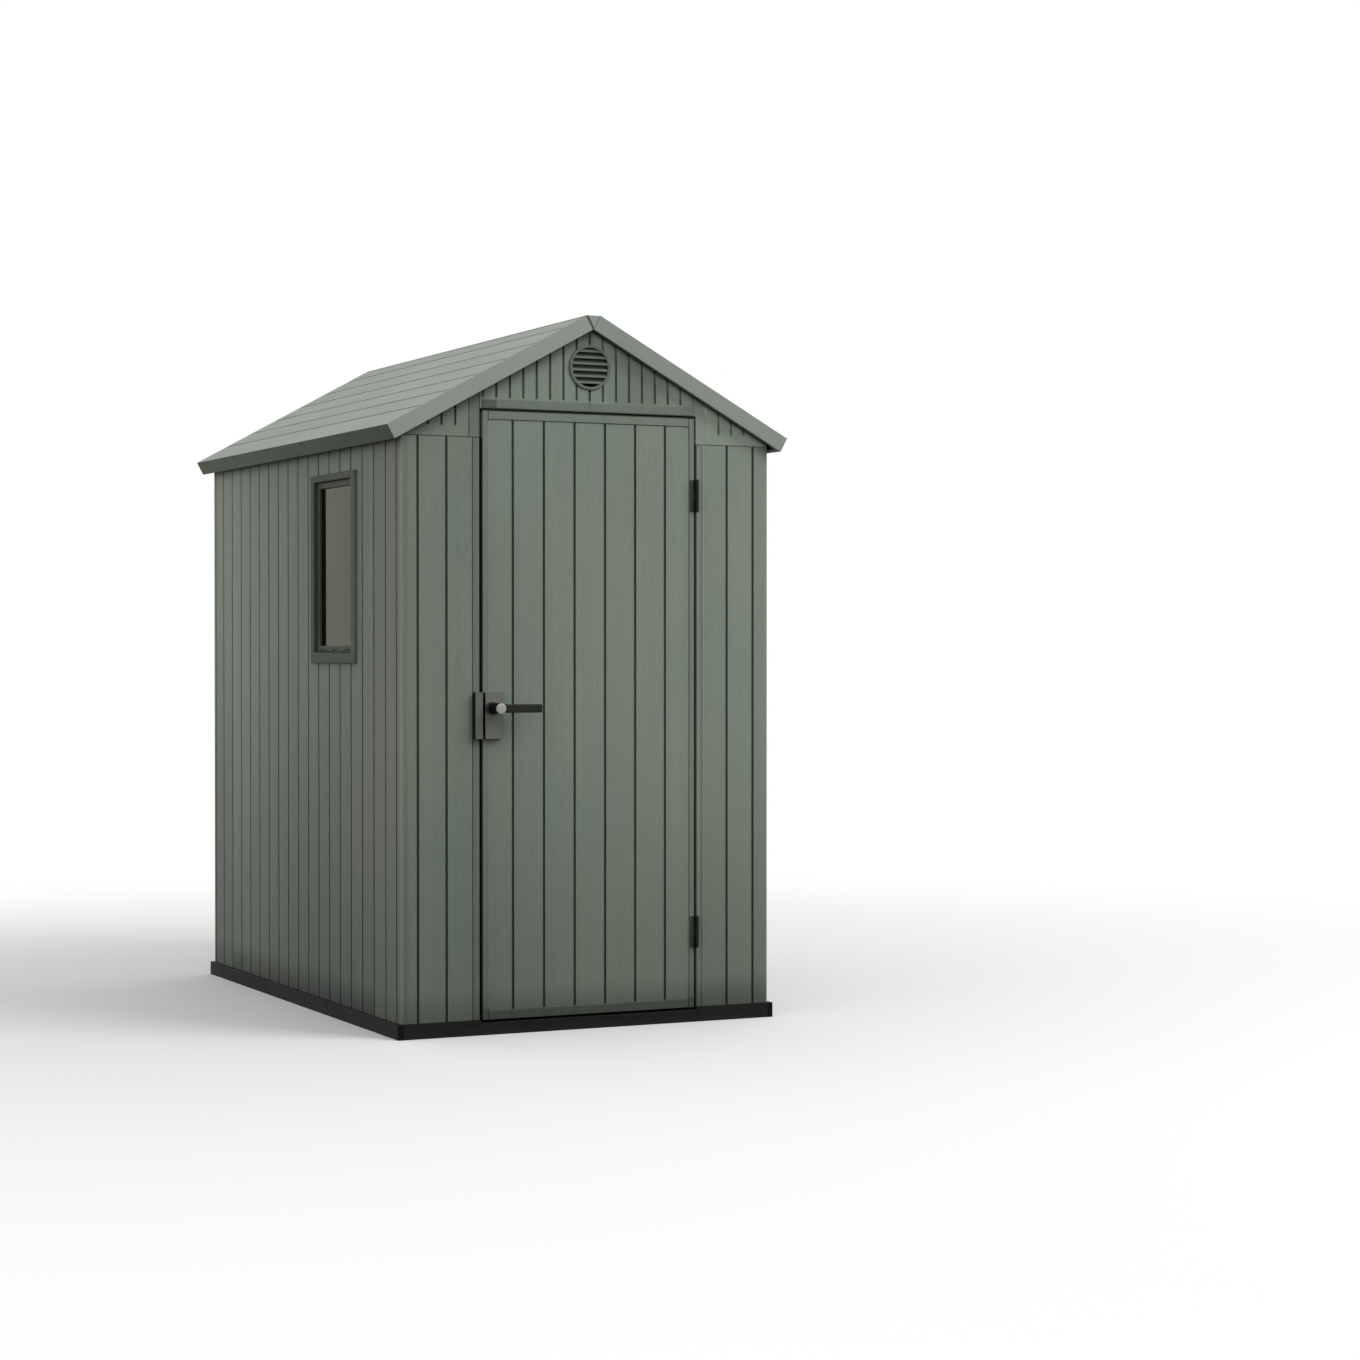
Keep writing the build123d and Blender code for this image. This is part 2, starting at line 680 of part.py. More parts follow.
# Window: an outer frame through the wall, a sash, a pane and an inner frame that holds them

clear_width = WINDOW_WIDTH - 2 * FRAME_SIDE
clear_height = WINDOW_HEIGHT - FRAME_HEAD - FRAME_SILL
clear_shift = (FRAME_SILL - FRAME_HEAD) / 2


def window_ring(start, depth, outer, inner, outer_shift=0.0, inner_shift=0.0):
    """Add a rectangular ring from start, measured outwards from the wall face, of a depth inwards."""
    with BuildSketch(window_plane.offset(start)) as ring:
        with Locations((0, outer_shift)):
            Rectangle(*outer)
        with Locations((0, inner_shift)):
            Rectangle(*inner, mode=Mode.SUBTRACT)
    extrude(ring.sketch, amount=-depth)


neck_size = (hole_width - 2 * WINDOW_PLAY, hole_height - 2 * WINDOW_PLAY)
clear_size = (clear_width, clear_height)
sash_size = (clear_width - 2 * WINDOW_PLAY, clear_height - 2 * WINDOW_PLAY)
glass_size = (clear_width - 2 * SASH_BAR, clear_height - 2 * SASH_BAR)
pane_front = FRAME_PROUD - SASH_SETBACK - SASH_THICK

with BuildPart() as window_frame:
    window_ring(FRAME_PROUD, FRAME_PROUD, (WINDOW_WIDTH, WINDOW_HEIGHT), clear_size, 0, clear_shift)
    chamfer(window_frame.edges().group_by(Axis.X)[0], length=FRAME_CHAMFER)
    window_ring(0, WALL_THICK, neck_size, clear_size, 0, clear_shift)

with BuildPart() as window_sash:
    window_ring(FRAME_PROUD - SASH_SETBACK, SASH_THICK, sash_size, glass_size, clear_shift, clear_shift)
    sash_front_edges = window_sash.edges().group_by(Axis.X)[0]
    chamfer(sash_front_edges, length=FRAME_CHAMFER)
    with BuildSketch(window_plane.offset(FRAME_PROUD - SASH_SETBACK)):
        with Locations((0, clear_shift - clear_height / 2 + SASH_SLOT_LIFT)):
            with GridLocations(clear_width / SASH_SLOTS, 1, SASH_SLOTS, 1):
                Rectangle(SASH_SLOT_LENGTH, SASH_SLOT_HEIGHT)
    extrude(amount=-SASH_SLOT_DEPTH, mode=Mode.SUBTRACT)

with BuildPart() as window_pane:
    with BuildSketch(window_plane.offset(pane_front)):
        with Locations((0, clear_shift)):
            Rectangle(*sash_size)
    extrude(amount=-PANE_THICK)

with BuildPart() as window_inner_frame:
    lip_front = pane_front - PANE_THICK
    window_ring(lip_front, lip_front + WALL_THICK, sash_size, glass_size, clear_shift, clear_shift)
    window_ring(-WALL_THICK, INNER_FRAME_THICK, (WINDOW_WIDTH, WINDOW_HEIGHT), glass_size, 0, clear_shift)

save(window_frame, "window_frame")
save(window_sash, "window_sash")
save(window_pane, "window_pane")
save(window_inner_frame, "window_inner_frame")


# Door leaf: boards inside a raised rim

door_middle = (DOOR_TOP + DOOR_BOTTOM) / 2
stile_joint = DOOR_HALF - DOOR_STILE

with BuildPart() as door_leaf:
    with BuildSketch(Plane.XZ.offset(HALF_DEPTH - DOOR_THICK)):
        with Locations((0, door_middle)):
            Rectangle(DOOR_WIDTH, DOOR_HEIGHT)
    extrude(amount=DOOR_THICK + DOOR_RIM)
    front_edges = door_leaf.faces().sort_by(Axis.Y)[0].edges()
    chamfer(front_edges, length=DOOR_EDGE)
    with BuildSketch(Plane.XZ.offset(HALF_DEPTH)):
        with Locations((0, door_middle)):
            RectangleRounded(2 * stile_joint, DOOR_HEIGHT - 2 * DOOR_RAIL, DOOR_CORNER)
    extrude(amount=DOOR_RIM, taper=-45, mode=Mode.SUBTRACT)
    with BuildSketch(Plane.XY.offset(DOOR_BOTTOM + DOOR_RAIL)):
        first = -(DOOR_BOARDS - 2) / 2
        seams = [((first + n) * FRONT_BOARD, -HALF_DEPTH) for n in range(DOOR_BOARDS - 1)]
        with Locations(*seams):
            Polygon(*GROOVE_SECTION, align=None)
    extrude(amount=DOOR_HEIGHT - 2 * DOOR_RAIL, mode=Mode.SUBTRACT)
    with BuildSketch(Plane.XY.offset(DOOR_BOTTOM)):
        with Locations((-stile_joint, -HALF_DEPTH - DOOR_RIM), (stile_joint, -HALF_DEPTH - DOOR_RIM)):
            Rectangle(RAIL_JOINT, RAIL_JOINT, rotation=45)
    extrude(amount=DOOR_HEIGHT, mode=Mode.SUBTRACT)

save(door_leaf, "door_leaf")


# Hinges: a leaf on the door, a leaf on the jamb and a pin through their knuckles

hinge_x = (DOOR_HALF + OPENING_HALF) / 2
hinge_y = -HALF_DEPTH - HINGE_OUT
knuckle_length = (HINGE_HEIGHT - (KNUCKLES - 1) * KNUCKLE_GAP) / KNUCKLES


def knuckle_plan(leaf_outline, bore):
    """Draw a leaf in plan, joined to its knuckle, with the pin's bore."""
    Polygon(*leaf_outline, align=None)
    with Locations((hinge_x, hinge_y)):
        Circle(HINGE_RADIUS)
        Circle(bore, mode=Mode.SUBTRACT)


def hinge(middle, name):
    """Make one hinge about a height: its two leaves and its pin."""
    bottom = middle - HINGE_HEIGHT / 2
    door_face = -HALF_DEPTH - DOOR_RIM
    strip_face = -HALF_DEPTH + JAMB_RECESS
    step = knuckle_length + KNUCKLE_GAP
    with BuildPart() as door_side:
        with BuildSketch(Plane.XY.offset(bottom + step)):
            knuckle_plan(
                [
                    (DOOR_HALF - DOOR_LEAF_WIDTH / 2, door_face),
                    (DOOR_HALF, door_face),
                    (hinge_x, hinge_y),
                    (hinge_x - HINGE_RADIUS, hinge_y),
                    (DOOR_HALF - DOOR_LEAF_WIDTH / 2, door_face - LEAF_THICK),
                ],
                PIN_RADIUS + PIN_PLAY,
            )
        extrude(amount=knuckle_length)
        with BuildSketch(Plane.XY.offset(bottom)):
            with Locations((DOOR_HALF - DOOR_LEAF_WIDTH / 2 - HINGE_INSET, door_face - LEAF_THICK / 2)):
                Rectangle(DOOR_LEAF_WIDTH, LEAF_THICK)
        extrude(amount=HINGE_HEIGHT)
    with BuildPart() as wall_side:
        for n in (0, KNUCKLES - 1):
            with BuildSketch(Plane.XY.offset(bottom + n * step)):
                knuckle_plan(
                    [
                        (OPENING_HALF + HINGE_INSET, strip_face),
                        (OPENING_HALF + WALL_LEAF_WIDTH / 2, strip_face),
                        (OPENING_HALF + WALL_LEAF_WIDTH / 2, strip_face - LEAF_THICK),
                        (hinge_x + HINGE_RADIUS, hinge_y),
                        (hinge_x, hinge_y),
                    ],
                    PIN_RADIUS + PIN_PLAY,
                )
            extrude(amount=knuckle_length)
        with BuildSketch(Plane.XY.offset(bottom)):
            with Locations((OPENING_HALF + WALL_LEAF_WIDTH / 2 + HINGE_INSET, strip_face - LEAF_THICK / 2)):
                Rectangle(WALL_LEAF_WIDTH, LEAF_THICK)
        extrude(amount=HINGE_HEIGHT)
    with BuildPart() as pin:
        with BuildSketch(Plane.XY.offset(bottom)):
            with Locations((hinge_x, hinge_y)):
                Circle(PIN_RADIUS)
        extrude(amount=HINGE_HEIGHT)
        with BuildSketch(Plane.XY.offset(bottom + HINGE_HEIGHT)):
            with Locations((hinge_x, hinge_y)):
                Circle(HINGE_RADIUS)
        extrude(amount=PIN_HEAD)
    save(door_side, f"{name}_hinge_door_leaf")
    save(wall_side, f"{name}_hinge_wall_leaf")
    save(pin, f"{name}_hinge_pin")


hinge(DOOR_TOP - UPPER_HINGE_DROP, "upper")
hinge(DOOR_BOTTOM + LOWER_HINGE_LIFT, "lower")


# Lock: a closed case on the door, a keeper on the jamb and a lever that turns on a spindle

lock_left = -DOOR_HALF + LOCK_INSET
lock_right = lock_left + LOCK_WIDTH
lever_x = lock_left + LEVER_INSET
lever_z = DOOR_BOTTOM + LEVER_LIFT
case_front = -HALF_DEPTH - DOOR_RIM - LOCK_PROUD
lock_height = LOCK_ABOVE + LOCK_BELOW
lock_middle = lever_z + (LOCK_ABOVE - LOCK_BELOW) / 2
keeper_left = -STRIP_EDGE + LOCK_PLAY
keeper_right = -OPENING_HALF + KEEPER_REACH

with BuildPart() as lock_case:
    with BuildSketch(Plane.XZ.offset(HALF_DEPTH + DOOR_RIM)):
        with Locations(((lock_left + lock_right) / 2, lock_middle)):
            RectangleRounded(LOCK_WIDTH, lock_height, LOCK_RADIUS)
    extrude(amount=LOCK_PROUD)
    chamfer(lock_case.faces().sort_by(Axis.Y)[0].edges(), length=LOCK_EDGE)
    pad_left = -stile_joint + DOOR_RIM + LOCK_PLAY
    with BuildSketch(Plane.XZ.offset(HALF_DEPTH)):
        with Locations(((pad_left + lock_right) / 2, lock_middle)):
            Rectangle(lock_right - pad_left, lock_height)
    extrude(amount=DOOR_RIM)
    with BuildSketch(Plane.XZ.offset(-case_front)):
        with Locations((lever_x, lever_z)):
            Circle(SPINDLE_SIDE / sqrt(2) + SPINDLE_PLAY)
    extrude(amount=-SPINDLE_DEPTH, mode=Mode.SUBTRACT)

with BuildPart() as lock_keeper:
    with BuildSketch(Plane.XZ.offset(HALF_DEPTH - JAMB_RECESS)):
        with Locations(((keeper_left + keeper_right) / 2, lock_middle)):
            Rectangle(keeper_right - keeper_left, lock_height)
    extrude(amount=KEEPER_PROUD)
    chamfer(lock_keeper.faces().sort_by(Axis.Y)[0].edges(), length=LOCK_EDGE)

hub_back = case_front - LEVER_PLAY
hub_front = hub_back - HUB_LENGTH

with BuildPart() as lever_handle:
    with BuildSketch(Plane.XZ.offset(-hub_back)):
        with Locations((lever_x, lever_z)):
            Circle(HUB_BASE_RADIUS)
    with BuildSketch(Plane.XZ.offset(-hub_front)):
        with Locations((lever_x, lever_z)):
            Circle(HUB_TIP_RADIUS)
    loft()
    with BuildSketch(Plane.XZ.offset(-hub_front - LEVER_SET_BACK - LEVER_DEEP)):
        with Locations((lever_x + LEVER_LENGTH / 2, lever_z)):
            Rectangle(LEVER_LENGTH, LEVER_TALL)
    extrude(amount=LEVER_DEEP)
    bar_end = lever_handle.faces().sort_by(Axis.X)[-1]
    long_edges = lever_handle.edges().filter_by(Axis.X)
    chamfer(long_edges + bar_end.edges(), length=LEVER_EDGE)
    with BuildSketch(Plane.XZ.offset(-hub_back)):
        with Locations((lever_x, lever_z)):
            Rectangle(SPINDLE_SIDE, SPINDLE_SIDE)
    extrude(amount=SPINDLE_DEPTH, mode=Mode.SUBTRACT)

with BuildPart() as lever_cap:
    with BuildSketch(Plane.XZ.offset(-hub_front)):
        with Locations((lever_x, lever_z)):
            Circle(CAP_RADIUS)
    extrude(amount=CAP_THICK)
    cap_edge = lever_cap.edges().sort_by(Axis.Y)[0]
    chamfer(cap_edge, length=CAP_EDGE)

with BuildPart() as lever_spindle:
    with BuildSketch(Plane.XZ.offset(-case_front - SPINDLE_DEPTH + LEVER_PLAY)):
        with Locations((lever_x, lever_z)):
            Rectangle(SPINDLE_SIDE, SPINDLE_SIDE)
    extrude(amount=2 * SPINDLE_DEPTH)

save(lock_case, "lock_case")
save(lock_keeper, "lock_keeper")
save(lever_handle, "lever_handle")
save(lever_cap, "lever_cap")
save(lever_spindle, "lever_spindle")
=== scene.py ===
"""Scene of a small plastic garden shed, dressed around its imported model.

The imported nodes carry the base, walls, gables, roof, window and door leaf. The vents, hinges, lock and lever
are modelled here in finer form and stand for their nodes. Every finish is a procedural material.
Metres, Z up. The door side faces -Y and the window is in the -X wall.
"""

import logging
import math
from dataclasses import dataclass
from enum import Enum
from functools import reduce
from operator import mul
from typing import Callable, Sequence

import bmesh
import bpy
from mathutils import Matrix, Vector


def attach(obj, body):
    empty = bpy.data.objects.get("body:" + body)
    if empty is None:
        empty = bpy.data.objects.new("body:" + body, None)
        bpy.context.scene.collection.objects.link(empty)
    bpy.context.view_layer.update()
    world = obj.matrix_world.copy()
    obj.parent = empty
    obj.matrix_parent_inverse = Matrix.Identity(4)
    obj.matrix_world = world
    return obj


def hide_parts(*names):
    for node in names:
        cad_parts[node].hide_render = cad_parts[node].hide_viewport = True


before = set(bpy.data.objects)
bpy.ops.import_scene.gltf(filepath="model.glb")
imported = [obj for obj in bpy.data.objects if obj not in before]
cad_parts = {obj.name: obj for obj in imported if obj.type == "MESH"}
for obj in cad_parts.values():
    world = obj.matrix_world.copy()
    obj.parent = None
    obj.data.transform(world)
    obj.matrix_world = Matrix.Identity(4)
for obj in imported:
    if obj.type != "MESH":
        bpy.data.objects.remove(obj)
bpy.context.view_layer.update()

log = logging.getLogger("shed")

Colour = tuple[float, float, float]
Point = tuple[float, float, float]
Pair = tuple[float, float]
Steps = tuple[float, ...]
Test = Callable[[Vector, Vector], bool]
MILLIMETRE = 0.001
CLOSE = 0.0001
FACING = 0.99
ALIGNED = 0.9
CROSSWISE = 0.5
WHITE = (1.0, 1.0, 1.0, 1.0)
PITCH = math.radians(28.7)
RIDGE = 2.050
CAP_HALF = 0.022
HALF_WIDTH = 0.581
HALF_DEPTH = 0.893
LEVER_AXIS = (-0.306, 0.9255)
HINGE_AXIS = (0.3375, -0.904)
FRONT_HALF = (-0.5, -0.6)
FRONT_FACE = (-0.884, -0.886)
PROUD_FACE = (-0.8936, -0.8940)
LEFT_HALF = (0.1, -0.1)


def shade(*levels: int) -> Colour:
    """Turn a screen colour of 0 to 255 into linear light.

    Args:
        levels: Red, green and blue share of the screen colour.

    Returns:
        The same colour in linear light, 0 to 1.
    """
    shares = (level / 255 for level in levels)
    return tuple(share / 12.92 if share <= 0.04045 else ((share + 0.055) / 1.055) ** 2.4 for share in shares)


class Run(Enum):
    """Direction in which the boards of a surface lie side by side."""

    ACROSS_X = "x"
    ACROSS_Y = "y"


class Part(Enum):
    """Kind of mesh element that is picked on the bench."""

    FACE = "FACE"
    EDGE = "EDGE"


class Along(Enum):
    """Axis of a round bar."""

    Y = (math.pi / 2, 0.0, 0.0)
    Z = (0.0, 0.0, 0.0)


class Join(Enum):
    """How one closed shape is combined with another."""

    UNION = "UNION"
    CUT = "DIFFERENCE"
    KEEP = "INTERSECT"


class Signal:
    """One output socket of a recipe that takes part in arithmetic."""

    def __init__(self, recipe: "Recipe", socket: bpy.types.NodeSocket) -> None:
        """Keep the socket and the recipe it belongs to."""
        self.recipe = recipe
        self.socket = socket

    def __add__(self, other: "Feed") -> "Signal":
        """Sum of two values."""
        return self.recipe.sum_of("ADD", self, other)

    def __sub__(self, other: "Feed") -> "Signal":
        """Difference of two values."""
        return self.recipe.sum_of("SUBTRACT", self, other)

    def __rsub__(self, other: "Feed") -> "Signal":
        """Difference with the plain number first."""
        return self.recipe.sum_of("SUBTRACT", other, self)

    def __mul__(self, other: "Feed") -> "Signal":
        """Product of two values."""
        return self.recipe.sum_of("MULTIPLY", self, other)

    def __truediv__(self, other: "Feed") -> "Signal":
        """Quotient of two values."""
        return self.recipe.sum_of("DIVIDE", self, other)

    def __abs__(self) -> "Signal":
        """The value without its sign."""
        return self.recipe.sum_of("ABSOLUTE", self)

    def __floor__(self) -> "Signal":
        """The value rounded down."""
        return self.recipe.sum_of("FLOOR", self)

    __radd__ = __add__
    __rmul__ = __mul__

    def most(self, other: "Feed") -> "Signal":
        """The larger of two values."""
        return self.recipe.sum_of("MAXIMUM", self, other)

    def swing(self, share: float) -> "Signal":
        """How far the value departs from a half, times a share."""
        return (self - 0.5) * share

    def called(self, label: str) -> "Signal":
        """The same value, with its node labelled for the shader editor."""
        self.socket.node.label = label
        return self

    def ramp(self, low: float, high: float) -> "Signal":
        """Rise smoothly from 0 at low to 1 at high, or fall if high is the smaller.

        Args:
            low: Value at which the result is 0.
            high: Value at which the result is 1.

        Returns:
            The smooth step.
        """
        feeds = {"Value": self, "From Min": min(low, high), "From Max": max(low, high)}
        span = self.recipe.node("ShaderNodeMapRange", {"interpolation_type": "SMOOTHSTEP"}, feeds)
        return 1 - span if low > high else span

    def within(self, low: float, high: float, soft: float) -> "Signal":
        """1 between two values and 0 outside them, over a soft border."""
        return self.ramp(low - soft, low + soft) * self.ramp(high + soft, high - soft)


Feed = Signal | float | Sequence[float]
Axes = dict[str, Signal]


class Recipe:
    """The node tree of one material or world, written as expressions."""

    def __init__(self, owner: bpy.types.Material | bpy.types.World) -> None:
        """Start with an empty tree.

        Args:
            owner: Material or world that the tree belongs to.
        """
        owner.use_nodes = True
        self.owner = owner
        self.tree = owner.node_tree
        self.tree.nodes.clear()

    @classmethod
    def material(cls, name: str) -> "Recipe":
        """Start a material of that name."""
        return cls(bpy.data.materials.new(name))

    def node(
        self, kind: str, settings: dict[str, object], feeds: dict[str | int, Feed], out: str | int = 0
    ) -> Signal:
        """Add a node, set it, then feed its inputs.

        Args:
            kind: Blender's name of the node type.
            settings: Settings of the node, set before anything is linked.
            feeds: Values or links for its inputs, by name or number.
            out: Output to hand back, by name or number.

        Returns:
            The chosen output.
        """
        made = self.tree.nodes.new(kind)
        for name, setting in settings.items():
            setattr(made, name, setting)
        for name, feed in feeds.items():
            if isinstance(feed, Signal):
                self.tree.links.new(feed.socket, made.inputs[name])
            else:
                made.inputs[name].default_value = feed
        return Signal(self, made.outputs[out])

    def sum_of(self, operation: str, *terms: Feed) -> Signal:
        """Add a Math node on one or two values."""
        return self.node("ShaderNodeMath", {"operation": operation}, dict(enumerate(terms)))

    def place(self) -> Axes:
        """Name the axes of the surface on the piece itself.

        Returns:
            X, Y and Z, and as side and end the distances from the shed's middle planes.
        """
        where = self.node("ShaderNodeTexCoord", {}, {}, "Object")
        axes = {axis: self.node("ShaderNodeSeparateXYZ", {}, {0: where}, axis.upper()) for axis in "xyz"}
        return axes | {"side": abs(axes["x"]), "end": abs(axes["y"])}

    def vector(self, x: Feed, y: Feed, z: Feed) -> Signal:
        """Join three values into a vector."""
        return self.node("ShaderNodeCombineXYZ", {}, {"X": x, "Y": y, "Z": z})

    def noise(self, *where: Feed, scale: float = 1.0, detail: float = 2.0, rough: float = 0.5) -> Signal:
        """Soft noise of about 0 to 1 at a place."""
        feeds = {"Vector": self.vector(*where), "Scale": scale, "Detail": detail, "Roughness": rough}
        return self.node("ShaderNodeTexNoise", {}, feeds)

    def chance(self, number: Signal) -> Signal:
        """A value of 0 to 1 that differs from one whole number to the next."""
        return self.node("ShaderNodeTexWhiteNoise", {"noise_dimensions": "1D"}, {"W": number})

    def reach(self, first: Signal, second: Signal) -> Signal:
        """Length of the way made of two steps at a right angle."""
        return self.sum_of("POWER", first * first + second * second, 0.5)

    def blend(self, share: Feed, first: Feed, second: Feed, how: str = "MIX") -> Signal:
        """Mix two colours, from the first at 0 to the second at 1.

        Args:
            share: Share of the second colour.
            first: First colour.
            second: Second colour.
            how: Blender's name of the way they are mixed.

        Returns:
            The mixed colour.
        """
        low, high = ((*each, 1.0) if isinstance(each, tuple) else each for each in (first, second))
        settings = {"data_type": "RGBA", "blend_type": how, "clamp_factor": True}
        return self.node("ShaderNodeMix", settings, {0: share, 6: low, 7: high}, 2)

    def dim(self, colour: Feed, level: Signal) -> Signal:
        """Multiply a colour by a value."""
        return self.blend(1.0, colour, self.vector(level, level, level), "MULTIPLY")

    def bump(self, height: Signal) -> Signal:
        """Relief from a height in millimetres."""
        return self.node("ShaderNodeBump", {}, {"Height": height, "Distance": MILLIMETRE})

    def finish(
        self, colour: Signal, roughness: Signal, height: Signal, specular: float = 0.5, metallic: float = 0.0
    ) -> bpy.types.Material:
        """Close the recipe with a Principled surface.

        Args:
            colour: Base colour.
            roughness: Roughness.
            height: Relief in millimetres.
            specular: Strength of the sheen, the same all over.
            metallic: Share of metal, the same all over.

        Returns:
            The finished material.
        """
        feeds = {"Base Color": colour, "Roughness": roughness, "Normal": self.bump(height)}
        feeds.update({"Specular IOR Level": specular, "Metallic": metallic})
        return self.close(self.node("ShaderNodeBsdfPrincipled", {}, feeds))

    def close(self, surface: Signal) -> bpy.types.Material | bpy.types.World:
        """Link a surface to the output.

        Args:
            surface: Shader of the whole tree.

        Returns:
            The tree's owner.
        """
        kind = "World" if isinstance(self.owner, bpy.types.World) else "Material"
        output = self.tree.nodes.new(f"ShaderNodeOutput{kind}")
        self.tree.links.new(surface.socket, output.inputs["Surface"])
        return self.owner

    def seen(self) -> Signal:
        """1 for rays from the camera, from a gloss or through a clear piece, else 0."""
        names = ("Is Camera Ray", "Is Glossy Ray", "Is Transmission Ray")
        return reduce(Signal.most, (self.node("ShaderNodeLightPath", {}, {}, name) for name in names))


def dress(piece: bpy.types.Object, material: bpy.types.Material) -> None:
    """Give one material to a piece, in every slot it has.

    Args:
        piece: Piece to dress.
        material: Its material.
    """
    if not piece.material_slots:
        piece.data.materials.append(material)
    for slot in piece.material_slots:
        slot.material = material


# Regions of a surface


@dataclass(frozen=True)
class Region:
    """A region of a surface, lighter or darker than the rest by a share. Its name labels its mask."""

    name: str
    change: float = 0.0

    def mask(self, axes: Axes) -> Signal:
        """1 in the region and 0 outside it."""
        raise NotImplementedError(self.name)

    def tone(self, level: Signal, axes: Axes) -> Signal:
        """Change a value where the region is."""
        return level * (1 + self.mask(axes) * self.change)


@dataclass(frozen=True)
class Patch(Region):
    """Region bounded on some axes, by a step of two values or a band of low, high and soft border.

    Side and end are distances from the shed's middle planes. Along and down run down the roof's slope and
    into it. Turned rises from 0 on the front and rear to 1 on the side walls.
    """

    x: Steps = ()
    y: Steps = ()
    z: Steps = ()
    side: Steps = ()
    end: Steps = ()
    along: Steps = ()
    down: Steps = ()
    turned: Steps = ()

    def mask(self, axes: Axes) -> Signal:
        """1 in the region and 0 outside it.

        Args:
            axes: Axes of the surface, by name.

        Returns:
            Product of the steps and bands.
        """
        bounds = {axis: getattr(self, axis) for axis in axes if getattr(self, axis)}
        return reduce(mul, (
            axes[axis].within(*steps) if len(steps) == 3 else axes[axis].ramp(*steps)
            for axis, steps in bounds.items()
        )).called(self.name)


@dataclass(frozen=True)
class Spot(Region):
    """Round region about a point of a plane, over a step of two radii."""

    centre: Pair = (0.0, 0.0)
    radii: Steps = ()
    plane: str = "xz"

    def mask(self, axes: Axes) -> Signal:
        """1 in the region and 0 outside it."""
        first, second = (axes[axis] - at for axis, at in zip(self.plane, self.centre))
        return first.recipe.reach(first, second).ramp(*self.radii).called(self.name)


@dataclass(frozen=True)
class BargeShade(Region):
    """Shade of the barge boards: soft on the left, close and with a glow below it on the right."""

    name: str = "barge shade"
    change: float = -1.0
    depth: float = 0.0455
    soft: Steps = (0.048, 0.0)
    soft_loss: float = 0.40
    close: Steps = (0.003, -0.006)
    close_loss: float = 0.8
    glow: float = 1.1
    glow_rise: Steps = (-0.003, 0.009)
    glow_fall: Steps = (0.038, 0.008)
    right: Steps = (-0.02, 0.02)

    def mask(self, axes: Axes) -> Signal:
        """How dark the shade is at each place.

        Args:
            axes: Axes of the surface, by name.

        Returns:
            Share of the light that is lost.
        """
        drop = (RIDGE - axes["z"]) * math.cos(PITCH)
        below = drop - (axes["side"] - CAP_HALF) * math.sin(PITCH) - self.depth
        soft = below.ramp(*self.soft) * self.soft_loss
        glow = below.ramp(*self.glow_rise) * below.ramp(*self.glow_fall) * self.glow
        close = below.ramp(*self.close) * self.close_loss - glow
        right = axes["x"].ramp(*self.right) * axes["y"].ramp(*FRONT_HALF)
        return (soft + (close - soft) * right).called(self.name)


def toned(level: Signal, regions: Sequence[Region], axes: Axes) -> Signal:
    """Change a value in all regions of a list."""
    return reduce(lambda value, region: region.tone(value, axes), regions, level)


# Finishes


@dataclass(frozen=True)
class Weave:
    """One layer of wood grain: noise drawn out along the boards, another on each board.

    The first four numbers say how fast it changes across, along, on the slant and from board to board.
    """

    across: float
    along: float
    slant: float
    lot: float
    detail: float = 2.0
    rough: float = 0.5

    def spread(self, across: Signal, lean: Signal, lot: Signal, drift: Feed = 0.0) -> Signal:
        """Lay the grain on a surface.

        Args:
            across: Way across the boards.
            lean: Way along the boards, shifted from board to board.
            lot: Number of 0 to 1 of each board.
            drift: Shift that makes the lines waver.

        Returns:
            The noise.
        """
        where = (across * self.across + drift, lean * self.along + across * self.slant, lot * self.lot)
        return across.recipe.noise(*where, detail=self.detail, rough=self.rough)


DRIFT = Weave(9.0, 1.1, 4.0, 40.0, 1.0)
PORE_STEPS = (0.56, 0.7)
HUE_STEPS = (0.35, 0.65)
LOT_SHIFT = 9.0
GRIT = 1900.0


